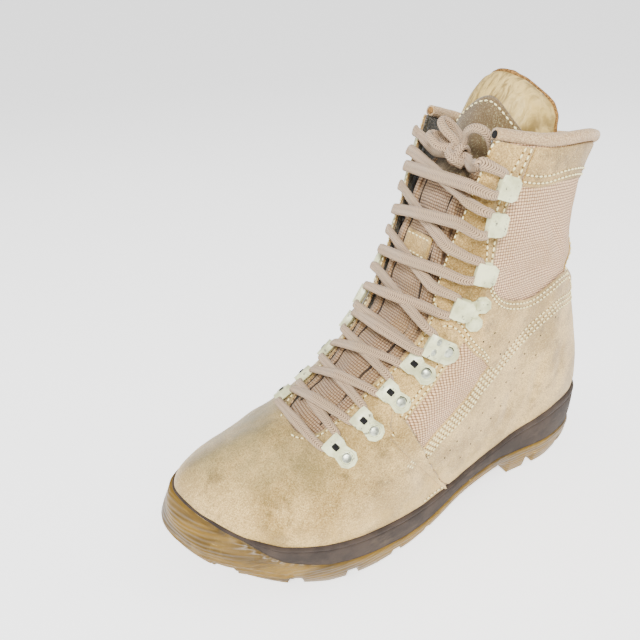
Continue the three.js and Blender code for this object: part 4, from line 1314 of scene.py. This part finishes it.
def round_tongue(turn, z, off):
    """A place on the tongue's front or wings: turned from straight ahead, at a height, and off it."""
    way = Vector((math.cos(turn), math.sin(turn), 0))
    heart = Vector((-70, TONGUE_MIDDLE, z)) * MM
    return hit_tongue(heart + way * 0.06, -way, heart + way * 0.025, off)


ARCH_FOOT, ARCH_TOP = 204.0, 238.0
ARCH_TURNS = (math.radians(-55), math.radians(104))
ARCH_CREST = 0.42
ARCH_LIFT, PATCH_ROLL = 0.9, 0.9


def arch(s):
    """How high the patch reaches across it: a round crest medially, an S down to the lateral side."""
    medial = 1 - 1.2 * np.clip(ARCH_CREST - s, 0, 1) ** 2 * 4
    lateral = 0.5 + 0.5 * np.cos(math.pi * np.clip((s - ARCH_CREST) / (1 - ARCH_CREST), 0, 1))
    return np.where(s < ARCH_CREST, medial, 0.06 + 0.94 * lateral)


def arch_place(s, t):
    turns = ARCH_TURNS[0] + (ARCH_TURNS[1] - ARCH_TURNS[0]) * s
    z = ARCH_FOOT + (ARCH_TOP - ARCH_FOOT) * arch(s) * t
    roll = 1 - np.clip((1 - t) * 30 / PATCH_ROLL, 0, 1)
    spots, _ = split(round_tongue(a, b, ARCH_LIFT - 0.5 * r * r) for a, b, r in zip(turns, z, roll))
    return spots, np.stack([s, t], -1) * 0.04


patch(90, 40, arch_place, "tongue_arch", SUEDE_BROWN)
arch_share = np.linspace(0.02, 0.97, 160)
arch_turns = ARCH_TURNS[0] + (ARCH_TURNS[1] - ARCH_TURNS[0]) * arch_share
arch_heights = ARCH_FOOT + (ARCH_TOP - ARCH_FOOT) * arch(arch_share) - 2.4
line, outs = split(round_tongue(turn, z, 1.1) for turn, z in zip(arch_turns, arch_heights))
relax(line, 6)
stitch_line(line, unit(outs), "arch_stitches", THREAD)

# %% Lace keeper
KEEPER_LOW, KEEPER_HIGH, KEEPER_HALF, KEEPER_LIFT = 0.515, 0.565, 11.0, 1.2


def keeper_place(s, t):
    y = TONGUE_MIDDLE + (s * 2 - 1) * KEEPER_HALF
    along = KEEPER_LOW + (KEEPER_HIGH - KEEPER_LOW) * t
    border = np.minimum(np.minimum(t, 1 - t) * 25, np.minimum(s, 1 - s) * 2 * KEEPER_HALF)
    roll = 1 - np.clip(border / PATCH_ROLL, 0, 1)
    spots, _ = split(on_tongue(a, b, KEEPER_LIFT - 0.7 * r * r) for a, b, r in zip(along, y, roll))
    return spots, np.stack([s, t], -1) * 0.04


patch(30, 16, keeper_place, "lace_keeper", SUEDE_WARM)
for number, along in enumerate((0.522, 0.558)):
    line, outs = tongue_line([(along, TONGUE_MIDDLE + y) for y in (-9.5, 0, 9.5)], 1.4)
    stitch_line(line, outs, f"keeper_stitches_{number + 1}", THREAD)

# %% Bound edge round the tongue's top
RIM = [(-64, 29, 208), (-71, 30, 217), (-75, 28, 227), (-74, 23.5, 236), (-67, 17, 243.5), (-61, 9, 248),
       (-59, 2, 249), (-61, -6, 248), (-67, -12, 244), (-74, -16, 236), (-75, -19.5, 227), (-71, -21.5, 217),
       (-64, -24, 208)]
RIM_HEART = (-58, 3, 218)


def rim_line(pulled, off):
    """The tongue's edge, pulled some millimetres towards its heart, on the tongue's surface."""
    spots = lane(RIM)(np.linspace(0, 1, 220))
    spots = spots + unit(np.array(RIM_HEART) - spots) * pulled
    found = [TONGUE_SURFACE.find_nearest(Vector(spot) * MM) for spot in spots]
    outs = unit(np.array([tuple(hit[1]) for hit in found]))
    line = np.array([tuple(hit[0]) for hit in found]) / MM + outs * off
    relax(line, 8)
    relax(outs, 8)
    return line, unit(outs)


rim, rim_outs = rim_line(0.0, 0.2)
sweep(rim, rim_outs, 2.4, 1.8, "tongue_binding", [RAW_EDGE], 12)
line, outs = rim_line(3.2, 0.25)
stitch_line(line, outs, "tongue_edge_stitches", THREAD_DARK, 2.6, (0.7, 0.32, 0.3))

# %% Folds and gusset beside the padded middle
# The folds are thin dark strips of painted shadow.
FOLD_SHADOW = plain("fold_shadow", (112, 96, 82), (90, 76, 64), 1.0)
for name, y in (("medial", -9.5), ("lateral", 15.5)):
    spots = [(along, y + 1.2 * math.sin(along * 23)) for along in np.linspace(0.03, 0.70, 12)]
    line, outs = tongue_line(spots, -0.1)
    sweep(line, outs, 1.5, 1.0, f"tongue_fold_shadow_{name}", [FOLD_SHADOW], 8)
    way = -1 if name == "medial" else 1
    spots = [(along, y + way * (4.3 + 0.8 * math.sin(along * 31))) for along in np.linspace(0.05, 0.70, 12)]
    line, outs = tongue_line(spots, 0.2)
    width = 6.4 + 0.9 * np.sin(np.linspace(0, 26, len(line)))
    sweep(line, outs, width, 3.2, f"tongue_gusset_{name}", [TONGUE_CLOTH], 16)

# %% [markdown]
# ## Lace hardware
# The plates are stamped sheet under thick enamel, so each solid is copied, its corners are softened with
# a bevel, and it gets what the stamping shows: a rivet with a rolled ring round a bright head, with a dark
# disc of painted shade in the gap between them, a small square window by the loop, and two dimples on the
# locking plate. The windows and dimples are shallow pieces laid on the plates, the windows dark as painted
# shadow, which saves cutting eighteen solids.

# %% Seats of the hardware, as in the frame
HARDWARE = [  # kind, row and millimetres below the top edge on the lateral side, then on the medial side
    ("loop", 7.26, 31.5, 7.73, 16.6), ("loop", 6.84, 27.5, 7.28, 14.5), ("loop", 6.42, 24, 6.72, 14.5),
    ("loop", 5.91, 24.5, 6.15, 15), ("lock", 5.22, 37.9, 5.66, 17), ("twin", 4.68, 40.8, 5, 24),
    ("hook", 4.11, 53.3, 4.4, 36), ("hook", 3.96, 36.4, 4.05, 32), ("hook", 3.78, 18.6, 3.85, 15),
]
CENTRE = {"loop": 14, "lock": 14, "twin": 7, "hook": 5.5}
WIDE = {"loop": 11.5, "lock": 12.5, "twin": 11, "hook": 11}
LIFT = 0.75  # from the wall to the underside of a plate


def h_back(u, back):
    """The height that lies some millimetres down the wall from the top edge."""
    heights = np.linspace(1, 0, 401)
    line = face(np.full(401, u), heights)
    return float(np.interp(back, lengths(line), heights))


def seats(side):
    spots = []
    for kind, row_lat, back_lat, row_med, back_med in HARDWARE:
        u = row_lat / ROUND if side == "lateral" else 1 - row_med / ROUND
        h = h_back(u, back_lat if side == "lateral" else back_med)
        spots.append((kind, face(u, h), frame_at(u, h)[2]))
    found = []
    for i, (kind, origin, out) in enumerate(spots):
        up = spots[min(i + 1, len(spots) - 1)][1] - spots[max(i - 1, 0)][1]
        up = unit(up - out * (up @ out))
        sign = 1 if side == "lateral" else -1
        found.append({"kind": kind, "origin": origin, "out": out, "up": up, "away": np.cross(up * sign, out)})
    return found


SEATS = {side: seats(side) for side in ("lateral", "medial")}

# %% Softened plates
for side, row in SEATS.items():
    for i, seat in enumerate(row):
        node = f"{seat['kind']}_{i + 1}_{side}"
        plate = plain_copy(node, f"{node}_plate")
        plate.data.materials.append(ENAMEL)
        plate.data.polygons.foreach_set("use_smooth", [True] * len(plate.data.polygons))
        bevel = plate.modifiers.new("stamped_edge", "BEVEL")
        bevel.width = (0.7 if seat["kind"] in ("hook", "twin") else 0.3) * MM
        bevel.segments = 3
        bevel.limit_method = "ANGLE"
        bevel.angle_limit = math.radians(35)
        bevel.harden_normals = True
        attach(plate, "root")
        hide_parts(node)

# %% Rivets, holes and dimples
RING_PROFILE = [(3.25, 0.9), (3.35, 1.7), (3.7, 1.95), (4.1, 1.75), (4.35, 1.2), (4.4, 0.2)]
HEAD_PROFILE = [(0, 2.25), (1.6, 2.2), (2.5, 1.95), (2.85, 1.5), (2.9, 0.8)]
GAP_SHADE_PROFILE = [(0, 1.35), (3.3, 1.35)]
HEAD_LIFT = 0.95
metal = plain("bare_metal", (196, 198, 186), (150, 152, 142), 0.35, 300, 0.2, 0.0002, Metallic=0.6)


def local(seat, away, up, out):
    return seat["origin"] + seat["away"] * away + seat["up"] * up + seat["out"] * (out + LIFT)


def join_copies(template, matrices, name, material):
    return piece_from(copies(template, matrices), name, [material])


def lathe(profile):
    """A template turned from a profile of (radius, height) in millimetres."""
    bm = bmesh.new()
    verts = [bm.verts.new((r * MM, 0, z * MM)) for r, z in profile]
    edges = [bm.edges.new(pair) for pair in zip(verts[:-1], verts[1:])]
    bmesh.ops.spin(bm, geom=verts + edges, cent=(0, 0, 0), axis=(0, 0, 1), angle=2 * math.pi, steps=20,
                   use_merge=True)
    bmesh.ops.remove_doubles(bm, verts=bm.verts, dist=1e-7)
    bmesh.ops.recalc_face_normals(bm, faces=bm.faces)
    return mesh_from(bm, "template")


def seat_matrix(seat, away, up, out):
    axes = seat["away"], np.cross(seat["out"], seat["away"]), seat["out"]
    turn = Matrix([Vector(axis) for axis in axes]).transposed().to_4x4()
    return Matrix.Translation(Vector(local(seat, away, up, out)) * MM) @ turn


every_seat = SEATS["lateral"] + SEATS["medial"]
riveted = [(seat, 0.0, 0.0) for seat in every_seat if seat["kind"] in ("loop", "lock")]
riveted += [(seat, 8.0, up) for seat in every_seat if seat["kind"] == "twin" for up in (-5.2, 5.2)]
heads = [seat_matrix(seat, away, up, HEAD_LIFT) for seat, away, up in riveted]
join_copies(lathe(RING_PROFILE), heads[:-4], "rivet_rings", ENAMEL)
join_copies(lathe(HEAD_PROFILE), heads[:-4], "rivet_heads", metal)
join_copies(lathe(HEAD_PROFILE), heads[-4:], "hook_buttons", ENAMEL)
# A dark disc of painted shade in the gap between each rivet's ring and head.
join_copies(lathe(GAP_SHADE_PROFILE), heads[:-4], "rivet_gap_shade", HOLE_SHADE)


def on_plate(side, i, away, up):
    """A place on top of a piece of hardware, and its normal there."""
    seat = SEATS[side][i]
    bm = bmesh.new()
    bm.from_mesh(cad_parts[f"{seat['kind']}_{i + 1}_{side}"].data)
    start = Vector(local(seat, away, up, 12)) * MM
    hit, normal, _, _ = BVHTree.FromBMesh(bm).ray_cast(start, -Vector(seat["out"]))
    bm.free()
    return np.array(hit) / MM, np.array(normal)


HOLE_BACK, HOLE_HALF = -8.2, (1.9, 1.6, 0.16)
DIMPLE_BACK, DIMPLE_HALF = -8.6, (1.5, 2.0, 0.22)
window_mesh = bmesh.new()
bmesh.ops.create_cube(window_mesh, size=2)
upright = [edge for edge in window_mesh.edges if abs(edge.verts[0].co.z - edge.verts[1].co.z) > 1]
bmesh.ops.bevel(window_mesh, geom=upright, affect="EDGES", offset=0.35, segments=3, profile=0.5, material=-1)
window = mesh_from(window_mesh, "window")
STAMPED = {"loop": (HOLE_BACK, (0,), HOLE_HALF), "lock": (DIMPLE_BACK, (-3, 3), DIMPLE_HALF)}
stamped = {"loop": [], "lock": []}
for side, row in SEATS.items():
    for i, seat in enumerate(row):
        if seat["kind"] in STAMPED:
            away, ups, half = STAMPED[seat["kind"]]
            for up in ups:
                place, normal = on_plate(side, i, away, up)
                stamped[seat["kind"]].append(frame_matrix(place, seat["away"], normal, half))
# The square windows are dark pieces of painted shadow laid on the loop plates.
join_copies(window, stamped["loop"], "plate_hole_shade", HOLE_SHADE)
piece_from(capsule_row(stamped["lock"], 16), "lock_dimples", [metal])
print("plate holes and dimples", {kind: len(rows) for kind, rows in stamped.items()})

# %% [markdown]
# ## The lace
# One braided lace runs through everything. It crosses the throat as a bar between the lowest loops, then
# each half zigzags up: in at the lower corner of a loop or hook, along inside it, out at the upper
# corner, and over the padded tongue to the next on the other side. Where the halves meet, one lies over
# the other. The route is a list of waypoints worked out from the seats, rounded like a pulled lace.

# %% Waypoints of the lace
LACE_WIDE, LACE_THICK = 6.0, 2.5
TUNNEL = 3.3  # from the throat side of the hardware
LACE_CLEAR, LACE_HEIGHT, EDGE_HEIGHT, LACE_ARCH = 3.4, 4.0, 3.2, 5.5


def corner(seat, end):
    """Outside the hardware's throat side, at its lower (-1) or upper (1) corner."""
    return (seat["origin"] - seat["away"] * (CENTRE[seat["kind"]] + LACE_CLEAR) + seat["out"] * LACE_HEIGHT
            + seat["up"] * end * WIDE[seat["kind"]] / 2)


def inside(seat, end):
    return (seat["origin"] - seat["away"] * (CENTRE[seat["kind"]] - TUNNEL) + seat["out"] * (LIFT + 2.65)
            + seat["up"] * end * WIDE[seat["kind"]] * 0.46)


def over_edge(point, side):
    rows = CORNER_ROW + 0.05 + np.arange(241) / 45
    u = rows / ROUND if side == "lateral" else 1 - rows / ROUND
    rim = face(u, np.ones_like(u))
    k = np.linalg.norm(rim - point, axis=1).argmin()
    return rim[k] + frame_at(u[k], 0.99)[2] * EDGE_HEIGHT + (1, 0, 0.5)


def through(seat, side):
    """Waypoints from below to above one piece of hardware: place, normal, width and thickness."""
    out = seat["out"]
    stops = []
    for end in (-1, 1):
        outer = corner(seat, end)
        way = [(inside(seat, end), out, 4.2, 2.6), (outer, out, 4.6, 2.8)]
        if seat["kind"] in ("hook", "twin"):
            way.append((over_edge(outer, side), out, LACE_WIDE, LACE_THICK))
        stops.append(way[::-1] if end < 0 else way)
    middle = [(inside(seat, 0), out, 4.4, 2.4)]
    return stops[0] + middle + stops[1]


def chain(first):
    """Waypoints of one half of the lace, from the lowest loop up to the knot."""
    sides = ("lateral", "medial") if first == "lateral" else ("medial", "lateral")
    way = []
    for i in range(len(HARDWARE)):
        side = sides[i % 2]
        seat = SEATS[side][i]
        step = through(seat, side)
        if way:
            before = way[-1]
            out = unit((before[1] + seat["out"]) * (1, 0, 1))
            over = 2.3 if (first == "lateral") == (i % 2 == 0) else -0.9
            middle = (before[0] + step[0][0]) / 2 + out * (LACE_ARCH - EDGE_HEIGHT + over)
            way.append((middle, out, LACE_WIDE, LACE_THICK))
        way += step
    reach = 1 if side == "lateral" else -1
    end = KNOT + (0.5, reach * 6.0, -0.5)
    sag = way[-1][0] * 0.4 + end * 0.6 + (0, 0, -3.5)
    return way + [(sag, unit(np.array([1, 0, 0.3])), LACE_WIDE, LACE_THICK),
                  (end, unit(np.array([1, 0, 0.3])), 4.4, 3.0)]


# %% One lace from end to end
half_a, half_b = chain("lateral"), chain("medial")
bar_out = unit((half_a[0][1] + half_b[0][1]) * (1, 0, 1))
bar_middle = (half_a[0][0] + half_b[0][0]) / 2 + bar_out * (LACE_ARCH - EDGE_HEIGHT)
bar = [(bar_middle, bar_out, LACE_WIDE, LACE_THICK)]
waypoints = half_a[::-1] + bar + half_b
stations = np.array([place for place, *_ in waypoints])
gone = lengths(stations)
marks = np.arange(0, gone[-1], 1.0)
lace_line = resample(marks, gone, stations)
lace_outs = resample(marks, gone, [out for _, out, *_ in waypoints])
relax(lace_line, 14)
relax(lace_outs, 14)
lace_wide = np.interp(marks, gone, [wide for *_, wide, _ in waypoints])
lace_thick = np.interp(marks, gone, [thick for *_, thick in waypoints])
lace = sweep(lace_line, unit(lace_outs), lace_wide, lace_thick, "lace_braid", [BRAID], 14, square=3.0)
laced = ["lace_bar", "lace_run_lateral", "lace_run_medial"] + [f"lace_crossing_{k}" for k in range(1, 9)]
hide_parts(*laced)
print("lace through the hardware", round(float(gone[-1]) * MM, 2), "m")
